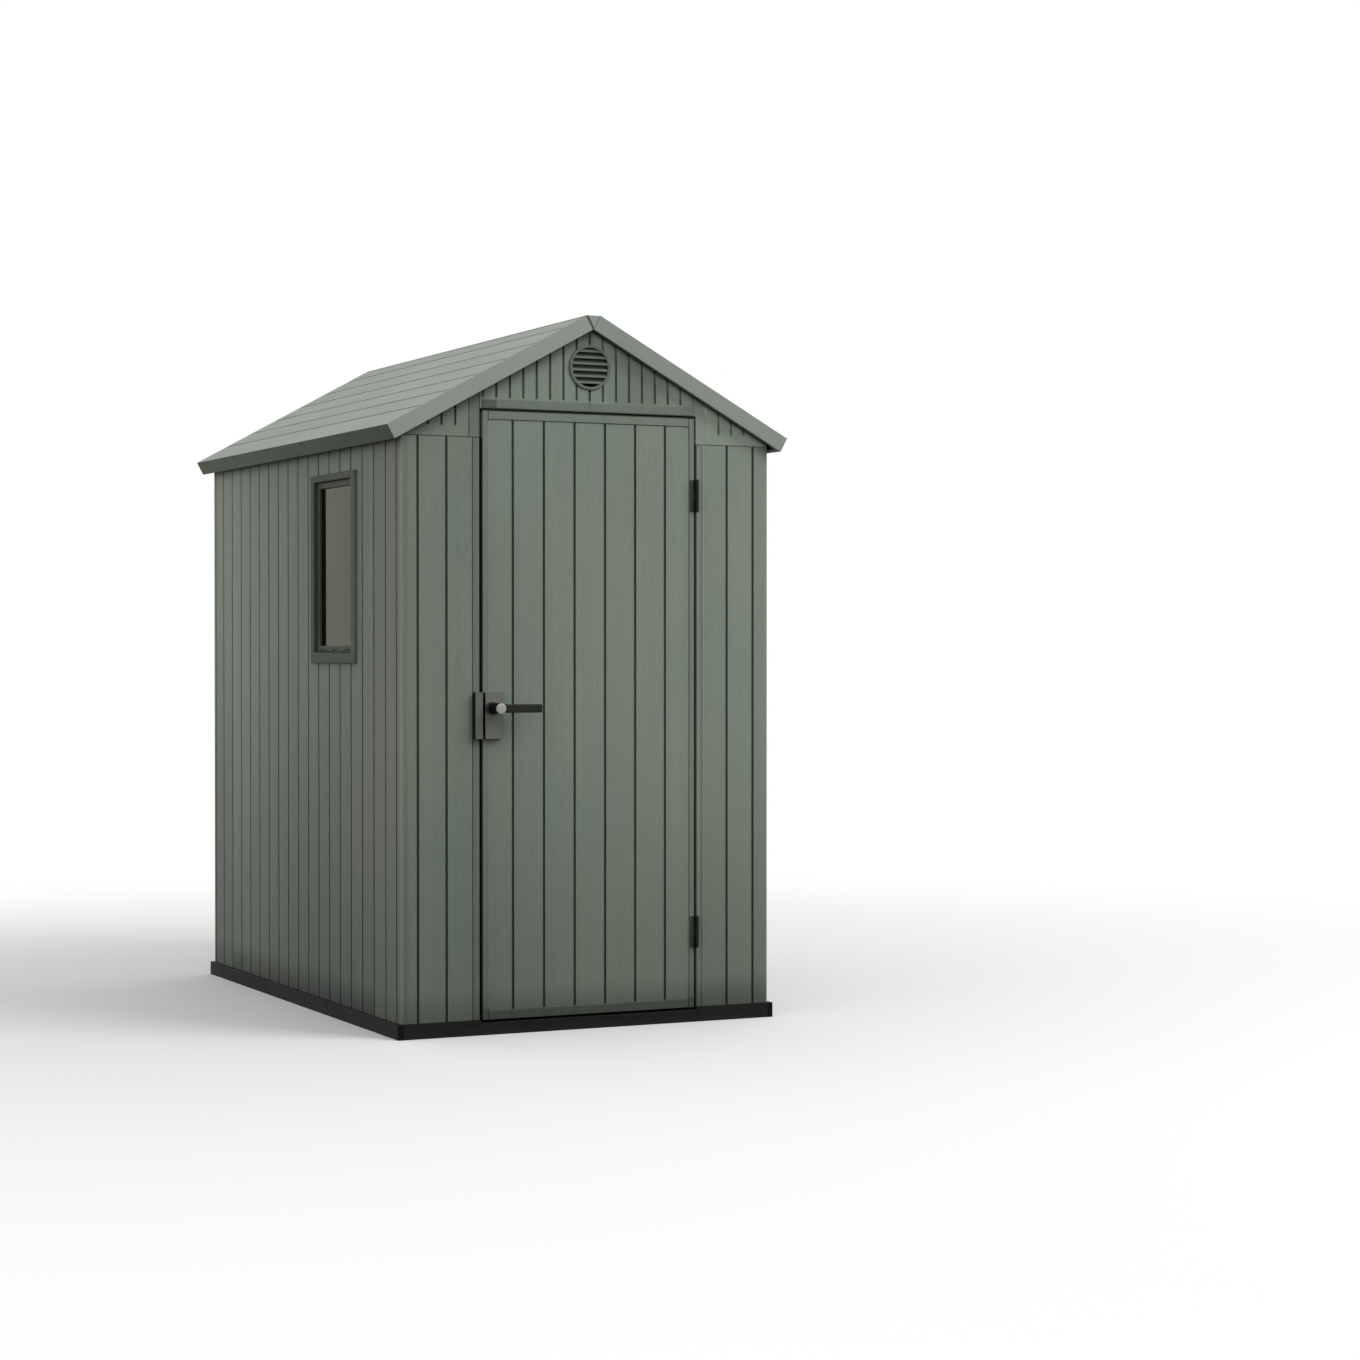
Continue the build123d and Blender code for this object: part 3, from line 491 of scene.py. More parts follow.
@dataclass(frozen=True)
class BoardPlastic:
    """Grey-green plastic moulded with upright boards and wood grain.

    The grain differs from board to board. Grooves, and the board edges beside them, are darker than the faces
    as painted shade.
    """

    name: str
    run: Run
    origin: float
    pitch: float
    lot: float
    tone: float = 1.0
    regions: tuple[Region, ...] = ()
    colour: Colour = shade(119, 128, 116)
    cool: Colour = shade(113, 126, 115)
    warm: Colour = shade(124, 128, 115)
    soil: Colour = shade(92, 88, 74)
    # Painted shade: in the grooves, beside them and towards the foot of the wall.
    groove_shade_loss: float = 0.64
    beside_shade_loss: float = 0.10
    foot_shade_and_splash: float = 0.26
    foot_top: float = 0.95
    foot_floor: float = 0.03
    foot_shade_steps: Steps = (0.15, 0.045)
    foot_shade_gain: float = 1.1
    splash_scale: float = 95.0
    splash_steps: Steps = (0.62, 0.72)
    splash_rise: Steps = (0.30, 0.05)
    splash_gain: float = 1.3
    side_origin: float = 0.777
    side_pitch: float = 0.087
    side_first: int = 40
    turn_steps: Steps = (-0.0002, 0.0002)
    beside_steps: Steps = (0.37, 0.5)
    wall_end: Steps = (0.868, 0.862)
    specular: float = 0.15
    corner: float = 0.013
    groove_steps: Steps = (0.0001, 0.0011)
    slot_steps: Steps = (0.0068, 0.0062)
    door_strip: Patch = Patch("strip beside the door", -1.0, side=(0.3155, 0.3747, 0.0005), y=FRONT_HALF)
    lines: Weave = Weave(230.0, 2.4, 75.0, 60.0, 3.0, 0.6)
    pores: Weave = Weave(1000.0, 26.0, 410.0, 90.0, 1.0)
    marks: Weave = Weave(42.0, 0.7, 17.0, 12.0)
    wander: Weave = Weave(30.0, 1.5, 11.0, 20.0)
    sway: float = 16.0

    def grooves(self, axes: Axes) -> Signal:
        """Mask of the board grooves, from how far a point lies below the walls' outer face.

        Args:
            axes: Axes of the surface, by name.

        Returns:
            0 on the faces, 1 in the grooves.
        """
        over_x = (axes["side"] - (HALF_WIDTH - self.corner)).most(0.0)
        over_y = (axes["end"] - (HALF_DEPTH - self.corner)).most(0.0)
        depth = self.corner - over_x.recipe.reach(over_x, over_y)
        return self.door_strip.tone(depth.ramp(*self.groove_steps) * depth.ramp(*self.slot_steps), axes)

    def mix(self) -> bpy.types.Material:
        """Write the material.

        Returns:
            The finished material.
        """
        recipe = Recipe.material(self.name)
        axes = recipe.place()
        x, y, z, side, end = axes.values()
        across = x if self.run is Run.ACROSS_X else y
        count = (across - self.origin) / self.pitch
        if self.run is Run.ACROSS_X:
            turned = axes["turned"] = (side - end + (HALF_DEPTH - HALF_WIDTH)).ramp(*self.turn_steps)
            across = x + (y - x) * turned
            count = count + ((end - self.side_origin) / self.side_pitch + self.side_first - count) * turned
        board = math.floor(count)
        lot = recipe.chance(board + self.lot)
        where = (across, z + lot * LOT_SHIFT, lot)
        lines = self.lines.spread(*where, DRIFT.spread(*where) * self.sway)
        pores = self.pores.spread(*where).ramp(*PORE_STEPS)
        marks, wander = self.marks.spread(*where), self.wander.spread(*where)
        cloud = recipe.noise(x * 2.2, y * 2.2, z * 1.3)
        grit = recipe.noise(x, y, z, scale=GRIT, detail=0.0)

        # Painted shade in the grooves and on the board edges beside them.
        groove = self.grooves(axes)
        beside = abs(count - board - 0.5).ramp(*self.beside_steps) * abs(across).ramp(*self.wall_end)
        hue = recipe.blend(cloud.ramp(*HUE_STEPS), self.cool, self.warm)
        tint = recipe.blend(0.5 + lot.swing(0.6), self.colour, hue)
        level = 1 + lines.swing(0.13) + marks.swing(0.12) - pores * 0.06 + lot.swing(0.05)
        level = level * (1 - beside * wander.ramp(0.25, 0.7) * self.beside_shade_loss)
        # Regions and the tone lighten or darken single places and the whole finish; most are painted light and
        # shade.
        level = toned(level * (1 - groove * self.groove_shade_loss), self.regions, axes) * self.tone
        # Painted shade, darker towards the foot of the wall; the soil splash below is real dirt.
        foot_shade = z.ramp(self.foot_top, self.foot_floor) + z.ramp(*self.foot_shade_steps) * self.foot_shade_gain
        level = level * (1 - foot_shade * self.foot_shade_and_splash)
        splash = recipe.noise(x, y, z, scale=self.splash_scale).ramp(*self.splash_steps)
        splash = splash * z.ramp(*self.splash_rise) * (self.foot_shade_and_splash * self.splash_gain)
        soiled = recipe.blend(splash, recipe.dim(tint, level), self.soil)

        height = lines * 0.26 + lines.ramp(0.45, 0.6) * 0.06 - pores * 0.2 + grit * 0.035
        roughness = 0.54 + lines.swing(0.12) + pores * 0.08 + groove * 0.15 + splash * 0.3
        return recipe.finish(soiled, roughness, height, self.specular)


@dataclass(frozen=True)
class RoofPlastic:
    """Grey-green plastic moulded with boards that lie along the ridge, lighter than the walls as painted
    light.
    """

    name: str = "roof_boards"
    colour: Colour = shade(137, 143, 133)
    cool: Colour = shade(130, 140, 131)
    eave_shade_colour: Colour = shade(70, 80, 64)
    first: float = 0.082
    board: float = 0.0985
    # Losses are painted shade: in the grooves and seams and under the overhang.
    groove_shade_loss: float = 0.66
    seam_loss: float = 0.75
    soffit_loss: float = 0.55
    seam_steps: Steps = (0.0034, 0.0016)
    top_steps: Steps = (0.0030, 0.0024)
    shaded_steps: Steps = (0.016, 0.010)
    skin_steps: Steps = (0.0012, 0.0008)
    mitre_steps: Steps = (0.0024, 0.0010)
    mitre_shift: float = 0.0024
    mitre_end: Steps = (0.9205, 0.9212)
    right_rows: int = 23
    # The eave fascia is painted in a shaded colour, darker at the front and lighter at the rear: painted shade
    # and light.
    eave_loss: float = 0.36
    eave_gain: float = 0.62
    dust_scale: float = 26.0
    specular: float = 0.15
    lines: Weave = Weave(210.0, 2.4, 75.0, 60.0, 3.0, 0.6)
    pores: Weave = Weave(900.0, 26.0, 380.0, 90.0, 1.0)
    sway: float = 14.0
    outer: Patch = Patch("outer face", along=(0.6895, 0.6885), down=(0.0060, 0.0050), end=(0.9165, 0.9160))
    hollow: Patch = Patch("hollows", along=(0.02, 0.03), down=(0.0003, 0.0012))
    eave: Patch = Patch("eave", along=(0.6912, 0.6916), down=(0.0, 0.0012))
    soffit: Patch = Patch("soffit", along=(0.60, 0.63), down=(0.0130, 0.0150), end=(0.9075, 0.9065))
    # Painted shade in the clips' pockets and on the right barge boards.
    regions: tuple[Region, ...] = (
        Patch("clips", -0.55, along=(0.689, 0.691, 0.0003), down=(0.004, 0.012, 0.001), end=(0.89, 0.88)),
        Patch("right barge boards", -0.1, x=(-0.02, 0.1), end=(0.9217, 0.9221)),
    )

    def seams(self, axes: Axes, off: Signal, drop: Signal) -> Signal:
        """Mask of painted shade at the ridge: in the seams along the top and at the mitres, darker on the
        left, and a painted shadow line on the slopes below the cap.

        Args:
            axes: Axes of the surface, by name.
            off: Distance from the ridge cap's edge.
            drop: Height below the ridge.

        Returns:
            0 on the faces, 1 in the seams.
        """
        left = axes["x"].ramp(0.002, -0.002)
        on_top = abs(off).ramp(*self.seam_steps) * drop.ramp(*self.top_steps)
        shaded = axes["along"].ramp(*self.shaded_steps) * abs(axes["down"]).ramp(*self.skin_steps)
        shaded = shaded * off.ramp(0.0, 0.0005)
        mitre = (abs(off + drop * math.tan(PITCH)) - left * self.mitre_shift).ramp(*self.mitre_steps)
        mitre = mitre * axes["end"].ramp(*self.mitre_end) * (0.4 + left * 0.6)
        return on_top.most(shaded).most(mitre)

    def mix(self) -> bpy.types.Material:
        """Write the material.

        Returns:
            The finished material.
        """
        recipe = Recipe.material(self.name)
        axes = recipe.place()
        x, y, z, side, _ = axes.values()
        off, drop = side - CAP_HALF, RIDGE - z
        along = off * math.cos(PITCH) + drop * math.sin(PITCH)
        axes.update(along=along, down=drop * math.cos(PITCH) - off * math.sin(PITCH))
        row = math.floor((along - self.first) / self.board) + x.ramp(-0.01, 0.01) * self.right_rows
        lot = recipe.chance(math.floor(row))
        where = (along, y + lot * LOT_SHIFT, lot)
        lines = self.lines.spread(*where, DRIFT.spread(*where) * self.sway)
        pores = self.pores.spread(*where).ramp(*PORE_STEPS)
        cloud = recipe.noise(x * 3, y * 2.2, z * 3, detail=3.0)
        dust = recipe.noise(x, y, z, scale=self.dust_scale, detail=4.0, rough=0.65)
        grit = recipe.noise(x, y, z, scale=GRIT, detail=0.0)

        outer, eave = self.outer.mask(axes), self.eave.mask(axes)
        level = 1 + (lines.swing(0.12) + lot.swing(0.04) - pores * 0.05) * outer + dust.swing(0.07)
        # Painted shade in the grooves, the ridge seams and the regions.
        level = level * (1 - outer * self.hollow.mask(axes) * self.groove_shade_loss)
        level = toned(level * (1 - self.seams(axes, off, drop) * self.seam_loss), self.regions, axes)
        # The fascia's painted shade and light, then painted shade under the overhang.
        level = level * (1 + eave * (y.ramp(-0.9, 0.9) * self.eave_gain - self.eave_loss))
        level = level * (1 - self.soffit.mask(axes) * (1 - eave) * self.soffit_loss)
        tint = recipe.blend(cloud.ramp(*HUE_STEPS), self.cool, self.colour)
        tint = recipe.blend(eave, tint, self.eave_shade_colour)
        height = (lines * 0.26 - pores * 0.18) * outer + grit * 0.035
        roughness = 0.55 + lines.swing(0.1) + dust.swing(0.14)
        return recipe.finish(recipe.dim(tint, level), roughness, height, self.specular)


@dataclass(frozen=True)
class MouldedPlastic:
    """Plain moulded plastic with a fine texture, dust in its hollows and scuffs."""

    name: str
    colour: Colour
    roughness: float
    specular: float = 0.12
    relief: float = 0.03
    grain: float = 1500.0
    dust: Colour = shade(120, 118, 108)
    dusty: float = 0.06
    regions: tuple[Region, ...] = ()
    clean: tuple[Region, ...] = ()

    def mix(self) -> bpy.types.Material:
        """Write the material.

        Returns:
            The finished material.
        """
        recipe = Recipe.material(self.name)
        axes = recipe.place()
        x, y, z, *_ = axes.values()
        fine = recipe.noise(x, y, z, scale=self.grain, detail=1.0)
        cloud = recipe.noise(x, y, z, scale=11.0, detail=3.0, rough=0.6)
        specks = recipe.noise(x, y, z, scale=420.0).ramp(0.6, 0.74)
        scuffs = recipe.noise(x * 22, y * 22 + x * 9, z * 260 + x * 31).ramp(0.63, 0.72)
        level = toned(1 + cloud.swing(0.16) + fine.swing(0.08), self.regions, axes)
        veil = (cloud.ramp(0.4, 0.75) + specks * 0.6 + scuffs * 0.5) * self.dusty
        veil = toned(veil, self.clean, axes)
        colour = recipe.blend(veil, recipe.dim(self.colour, level), self.dust)
        roughness = self.roughness + cloud.swing(0.14) + veil * 0.5
        return recipe.finish(colour, roughness, fine * self.relief + scuffs * 0.01, self.specular)


@dataclass(frozen=True)
class FacedPlastic:
    """Dark grey moulding whose sides are painted black as shade, its front face left grey."""

    name: str
    face: Colour = shade(100, 101, 96)
    body: Colour = shade(22, 22, 21)
    roughness: float = 0.52
    specular: float = 0.25
    plate: Patch = Patch("front plate", y=(-0.9115, -0.9121))
    regions: tuple[Region, ...] = ()

    def mix(self) -> bpy.types.Material:
        """Write the material.

        Returns:
            The finished material.
        """
        recipe = Recipe.material(self.name)
        axes = recipe.place()
        x, y, z, *_ = axes.values()
        fine = recipe.noise(x, y, z, scale=1700.0, detail=1.0)
        cloud = recipe.noise(x, y, z, scale=24.0)
        scuffs = recipe.noise(x * 40 + z * 13, y * 40, z * 300).ramp(0.64, 0.72)
        # Painted shade: the sides take the black body colour, the front face the grey.
        tint = recipe.blend(self.plate.mask(axes), self.body, self.face)
        level = toned(1 + cloud.swing(0.14) + fine.swing(0.08) + scuffs * 0.06, self.regions, axes)
        roughness = self.roughness + cloud.swing(0.12) - scuffs * 0.08
        height = fine * 0.025 - scuffs * 0.01
        return recipe.finish(recipe.dim(tint, level), roughness, height, self.specular)


@dataclass(frozen=True)
class HingePlastic:
    """Dark plastic hinge: grey-green leaves, painted black round the pin as shade."""

    name: str = "hinge_plastic"
    leaf: Colour = shade(50, 55, 49)
    knuckle: Colour = shade(9, 10, 8)
    round_pin: Spot = Spot("round the pin", centre=HINGE_AXIS, radii=(0.0072, 0.0062), plane="xy")
    door_side: Patch = Patch("door side of the pin", x=(0.3403, 0.3387))
    roughness: float = 0.5
    specular: float = 0.12

    def mix(self) -> bpy.types.Material:
        """Write the material.

        Returns:
            The finished material.
        """
        recipe = Recipe.material(self.name)
        axes = recipe.place()
        x, y, z, *_ = axes.values()
        fine = recipe.noise(x, y, z, scale=1500.0, detail=1.0)
        cloud = recipe.noise(x, y, z, scale=45.0)
        # Painted shade round the pin.
        black = self.round_pin.mask(axes) * self.door_side.mask(axes)
        rub = recipe.noise(x * 60, y * 60, z * 900, detail=1.0).ramp(0.55, 0.7) * black
        level = 1 + cloud.swing(0.16) + fine.swing(0.1) + rub * 0.3
        tint = recipe.blend(black, self.leaf, self.knuckle)
        roughness = self.roughness + cloud.swing(0.1) - rub * 0.12
        return recipe.finish(recipe.dim(tint, level), roughness, fine * 0.025, self.specular)


@dataclass(frozen=True)
class TreadPlastic:
    """Black base plastic: a fine tread on the deck, soil on the outer sides."""

    name: str = "base_plastic"
    colour: Colour = shade(19, 19, 19)
    worn: Colour = shade(34, 33, 31)
    soil: Colour = shade(106, 99, 86)
    tread: float = 0.012
    bar_steps: Steps = (0.72, 0.95)
    specular: float = 0.1
    deck: Patch = Patch("deck", z=(0.0351, 0.0359, 0.0002))
    darker_corners: Patch = Patch("darkening at the corners", -0.95, side=(0.5725, 0.5745), end=(0.8915, 0.8935))

    def mix(self) -> bpy.types.Material:
        """Write the material.

        Returns:
            The finished material.
        """
        recipe = Recipe.material(self.name)
        axes = recipe.place()
        x, y, z, *_ = axes.values()
        turn = 2 * math.pi / self.tread
        rows = [recipe.sum_of("SINE", way * turn) for way in (x + y, x - y)]
        bars = rows[0].most(rows[1]).ramp(*self.bar_steps) * self.deck.mask(axes)
        fine = recipe.noise(x, y, z, scale=1300.0, detail=1.0)
        cloud = recipe.noise(x, y, z, scale=7.0, detail=4.0, rough=0.6)
        crumbs = recipe.noise(x, y, z, scale=260.0).ramp(0.6, 0.72)
        low = z.ramp(0.03, 0.0)
        tint = recipe.blend(cloud.ramp(0.4, 0.7) * 0.25 + bars * 0.2, self.colour, self.worn)
        dirty = recipe.blend(crumbs * (0.05 + low * 0.2) + low * 0.03, tint, self.soil)
        # Darker at the base's corners.
        dirty = recipe.dim(dirty, 1 + self.darker_corners.mask(axes) * self.darker_corners.change)
        roughness = 0.56 + cloud.swing(0.2) + crumbs * 0.15
        return recipe.finish(dirty, roughness, bars * 0.5 + fine * 0.05, self.specular)


@dataclass(frozen=True)
class SatinMetal:
    """Metal with fine marks in one plane and small clouds in its gloss."""

    name: str
    colour: Colour
    roughness: float
    metallic: float
    flake: float

    def mix(self) -> bpy.types.Material:
        """Write the material.

        Returns:
            The finished material.
        """
        recipe = Recipe.material(self.name)
        x, y, z, *_ = recipe.place().values()
        feeds = {"Vector": recipe.vector(x, y, z), "Scale": self.flake}
        flakes = recipe.node("ShaderNodeTexVoronoi", {}, feeds, "Color")
        tone = recipe.node("ShaderNodeSeparateColor", {}, {0: flakes})
        marks = recipe.noise(x * 300, y * 300, z * 2400)
        cloud = recipe.noise(x, y, z, scale=60.0)
        level = 1 + tone.swing(0.16) + cloud.swing(0.12)
        roughness = self.roughness + marks.swing(0.14) + tone.swing(0.08)
        return recipe.finish(
            recipe.dim(self.colour, level), roughness, marks * 0.006, metallic=self.metallic
        )


@dataclass(frozen=True)
class ClearPane:
    """Clear window plastic with a faint smoke tint and a sheen, dusty in places."""

    name: str = "clear_pane"
    tint: Colour = shade(238, 242, 236)
    # The mirror's dim, warm colour is a painted reflection tint, in place of reflected surroundings.
    sheen: Colour = shade(120, 117, 94)
    spread: float = 2.5
    dust: float = 0.05
    ior: float = 1.45

    def mix(self) -> bpy.types.Material:
        """Write the material.

        Returns:
            The finished material.
        """
        recipe = Recipe.material(self.name)
        x, y, z, *_ = recipe.place().values()
        film = recipe.noise(x * 5, y * 5, z * 3, detail=3.0)
        wave = recipe.noise(x * 4, y * 4, z * 2, detail=0.0)
        feeds = {
            "Base Color": recipe.dim(self.sheen, 1 - film.ramp(0.5, 0.8) * 0.1),
            "Roughness": 0.03 + film.ramp(0.45, 0.8) * 0.08,
            "Normal": recipe.bump(wave * 0.5),
            "Metallic": 1.0,
        }
        mirror = recipe.node("ShaderNodeBsdfPrincipled", {}, feeds)
        clear = recipe.node("ShaderNodeBsdfTransparent", {}, {"Color": (*self.tint, 1.0)})
        share = recipe.node("ShaderNodeFresnel", {}, {"IOR": self.ior}) * self.spread
        share = share + film.ramp(0.4, 0.8) * self.dust
        return recipe.close(recipe.node("ShaderNodeMixShader", {}, {0: share, 1: clear, 2: mirror}))


# Modelling


def clear_bench() -> None:
    """Leave edit mode and select nothing."""
    if bpy.context.mode != "OBJECT":
        bpy.ops.object.mode_set(mode="OBJECT")
    bpy.ops.object.select_all(action="DESELECT")


def add_modifier(piece: bpy.types.Object, kind: str, **settings: object) -> str:
    """Add a modifier to a piece and set it.

    Args:
        piece: Piece that gets the modifier.
        kind: Blender's name of the modifier type.
        settings: Settings of the modifier.

    Returns:
        Name of the modifier.
    """
    modifier = piece.modifiers.new(kind.lower(), kind)
    for name, setting in settings.items():
        setattr(modifier, name, setting)
    return modifier.name


def facing(x: float, y: float, z: float) -> Test:
    """Test for faces that look that way."""
    return lambda place, normal: normal.dot((x, y, z)) > FACING


class Bench:
    """One mesh that is shaped in edit mode, with its faces and edges picked by place or direction."""

    def __init__(self, piece: bpy.types.Object, name: str) -> None:
        """Take a new primitive and put its place into its mesh.

        Args:
            piece: The primitive.
            name: Name of the piece.
        """
        piece.name = name
        piece.data.name = name
        self.piece = piece
        bpy.ops.object.transform_apply(location=True, rotation=True, scale=True)

    @classmethod
    def block(cls, name: str, low: Point, high: Point) -> "Bench":
        """Start from a block.

        Args:
            name: Name of the piece.
            low: Corner with the lowest X, Y and Z.
            high: Corner with the highest X, Y and Z.

        Returns:
            The block on the bench.
        """
        clear_bench()
        middle = [(a + b) / 2 for a, b in zip(low, high)]
        bpy.ops.mesh.primitive_cube_add(size=1.0, location=middle)
        piece = bpy.context.active_object
        piece.scale = [b - a for a, b in zip(low, high)]
        return cls(piece, name)

    @classmethod
    def rod(cls, name: str, middle: Point, radius: float, length: float, along: Along, sides: int) -> "Bench":
        """Start from a round bar.

        Args:
            name: Name of the piece.
            middle: Middle of the bar.
            radius: Radius of the bar.
            length: Length of the bar.
            along: Axis of the bar.
            sides: Number of its sides.

        Returns:
            The bar on the bench.
        """
        clear_bench()
        bpy.ops.mesh.primitive_cylinder_add(
            vertices=sides, radius=radius, depth=length, location=middle, rotation=along.value
        )
        return cls(bpy.context.active_object, name)

    def pick(self, part: Part, test: Test) -> "Bench":
        """Go to edit mode and select the faces or edges that pass a test.

        Args:
            part: Whether faces or edges are picked.
            test: Takes the middle of an element, and the normal of a face or the direction of an edge.

        Returns:
            The same bench.
        """
        self.open()
        bpy.ops.mesh.select_mode(type=part.value)
        bpy.ops.mesh.select_all(action="DESELECT")
        mesh = bmesh.from_edit_mesh(self.piece.data)
        mesh.normal_update()
        if part is Part.FACE:
            for face in mesh.faces:
                face.select_set(test(face.calc_center_median(), face.normal))
        else:
            for edge in mesh.edges:
                first, last = (corner.co for corner in edge.verts)
                edge.select_set(test((first + last) / 2, (last - first).normalized()))
        mesh.select_flush_mode()
        bmesh.update_edit_mesh(self.piece.data)
        return self

    def open(self, whole: bool = False) -> "Bench":
        """Go to edit mode with this piece alone.

        Args:
            whole: Whether all of its mesh is selected.

        Returns:
            The same bench.
        """
        if self.piece.mode != "EDIT":
            clear_bench()
            self.piece.select_set(True)
            bpy.context.view_layer.objects.active = self.piece
            bpy.ops.object.mode_set(mode="EDIT")
        if whole:
            bpy.ops.mesh.select_all(action="SELECT")
        return self

    def close(self) -> None:
        """Leave edit mode, with the piece alone selected."""
        self.open()
        bpy.ops.object.mode_set(mode="OBJECT")

    def inset(self, width: float) -> "Bench":
        """Inset the picked faces."""
        bpy.ops.mesh.inset(thickness=width, use_even_offset=True)
        return self

    def push(self, way: Point) -> "Bench":
        """Extrude the picked faces along a way."""
        bpy.ops.mesh.extrude_region_move(TRANSFORM_OT_translate={"value": way})
        return self

    def shift(self, way: Point) -> "Bench":
        """Move what is picked."""
        bpy.ops.transform.translate(value=way)
        return self

    def grow(self, scale: Point, about: Point) -> "Bench":
        """Scale what is picked about a point."""
        bpy.ops.transform.resize(value=scale, center_override=about)
        return self

    def round(self, width: float, segments: int) -> "Bench":
        """Bevel the picked edges."""
        bpy.ops.mesh.bevel(offset=width, segments=segments, affect="EDGES", clamp_overlap=True)
        return self

    def bridge(self) -> "Bench":
        """Join the picked faces by a tunnel."""
        bpy.ops.mesh.bridge_edge_loops()
        return self

    def modify(self, kind: str, **settings: object) -> "Bench":
        """Add a modifier and apply it.

        Args:
            kind: Blender's name of the modifier type.
            settings: Settings of the modifier.

        Returns:
            The same bench.
        """
        self.close()
        bpy.ops.object.modifier_apply(modifier=add_modifier(self.piece, kind, **settings))
        return self

    def repeat(self, count: int, step: Point) -> "Bench":
        """Copy the whole shape in a row."""
        offset = {"use_relative_offset": False, "use_constant_offset": True, "constant_offset_displace": step}
        return self.modify("ARRAY", count=count, **offset)

    def combine(self, other: "Bench", how: Join) -> "Bench":
        """Combine with another closed shape, which is used up.

        Args:
            other: The other shape.
            how: Union, cut or what both share.

        Returns:
            The same bench.
        """
        other.close()
        self.modify("BOOLEAN", object=other.piece, operation=how.value, solver="EXACT")
        bpy.data.objects.remove(other.piece, do_unlink=True)
        return self

    def gather(self, other: "Bench") -> "Bench":
        """Take another shape into the same piece.

        Args:
            other: The other shape.

        Returns:
            The same bench.
        """
        other.close()
        self.close()
        other.piece.select_set(True)
        bpy.ops.object.join()
        return self

    def copy(self, name: str) -> "Bench":
        """Copy the piece with a mesh of its own.

        Args:
            name: Name of the copy.

        Returns:
            The copy on the bench.
        """
        self.close()
        bpy.ops.object.duplicate()
        return Bench(bpy.context.active_object, name)

    def done(self, smooth: float = 35.0) -> bpy.types.Object:
        """Turn all faces outwards, smooth the soft edges and hand over the piece.

        Args:
            smooth: Edges below this angle in degrees are shaded smooth.

        Returns:
            The finished piece.
        """
        self.open(whole=True)
        bpy.ops.mesh.normals_make_consistent(inside=False)
        self.close()
        bpy.ops.object.shade_smooth_by_angle(angle=math.radians(smooth))
        return self.piece


@dataclass(frozen=True)
class SoftEdges:
    """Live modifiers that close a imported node's loose triangles and round its edges.

    Flattening joins the triangles of a face first. It is left out where a face has several holes.
    """

    width: float = 0.0009
    segments: int = 2
    angle: float = math.radians(32)
    flatten: bool = True
    flat_angle: float = math.radians(0.4)
    weld: float = 0.00002

    def put_on(self, node: bpy.types.Object) -> None:
        """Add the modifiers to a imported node.

        Args:
            node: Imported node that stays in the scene.
        """
        add_modifier(node, "WELD", merge_threshold=self.weld)
        if self.flatten:
            add_modifier(node, "DECIMATE", decimate_type="DISSOLVE", angle_limit=self.flat_angle)
        add_modifier(
            node, "BEVEL", width=self.width, segments=self.segments, limit_method="ANGLE",
            angle_limit=self.angle, use_clamp_overlap=True, miter_outer="MITER_ARC",
        )
        add_modifier(node, "WEIGHTED_NORMAL", keep_sharp=False)


def keep(material: bpy.types.Material, edges: SoftEdges, *names: str) -> None:
    """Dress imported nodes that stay, and soften their edges.

    Args:
        material: Material of the nodes.
        edges: How their edges are softened.
        names: Names of the nodes.
    """
    for name in names:
        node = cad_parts[name]
        dress(node, material)
        edges.put_on(node)
        log.info("kept %s in %s", name, material.name)


def stand_for(piece: bpy.types.Object, material: bpy.types.Material, node: str, body: str) -> None:
    """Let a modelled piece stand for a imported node.

    Args:
        piece: The modelled piece.
        material: Its material.
        node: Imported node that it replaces.
        body: Body that it moves with.
    """
    dress(piece, material)
    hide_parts(node)
    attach(piece, body)
    log.info("modelled %s for %s: %d faces", piece.name, node, len(piece.data.polygons))


# Assemblies


@dataclass
class Base:
    """The three floor panels, kept as packed."""

    edges: SoftEdges = SoftEdges(width=0.0016, flatten=False)
    plastic: TreadPlastic = TreadPlastic()

    def build(self) -> None:
        """Dress the floor panels."""
        keep(self.plastic.mix(), self.edges, "floor_front_panel", "floor_centre_panel", "floor_rear_panel")


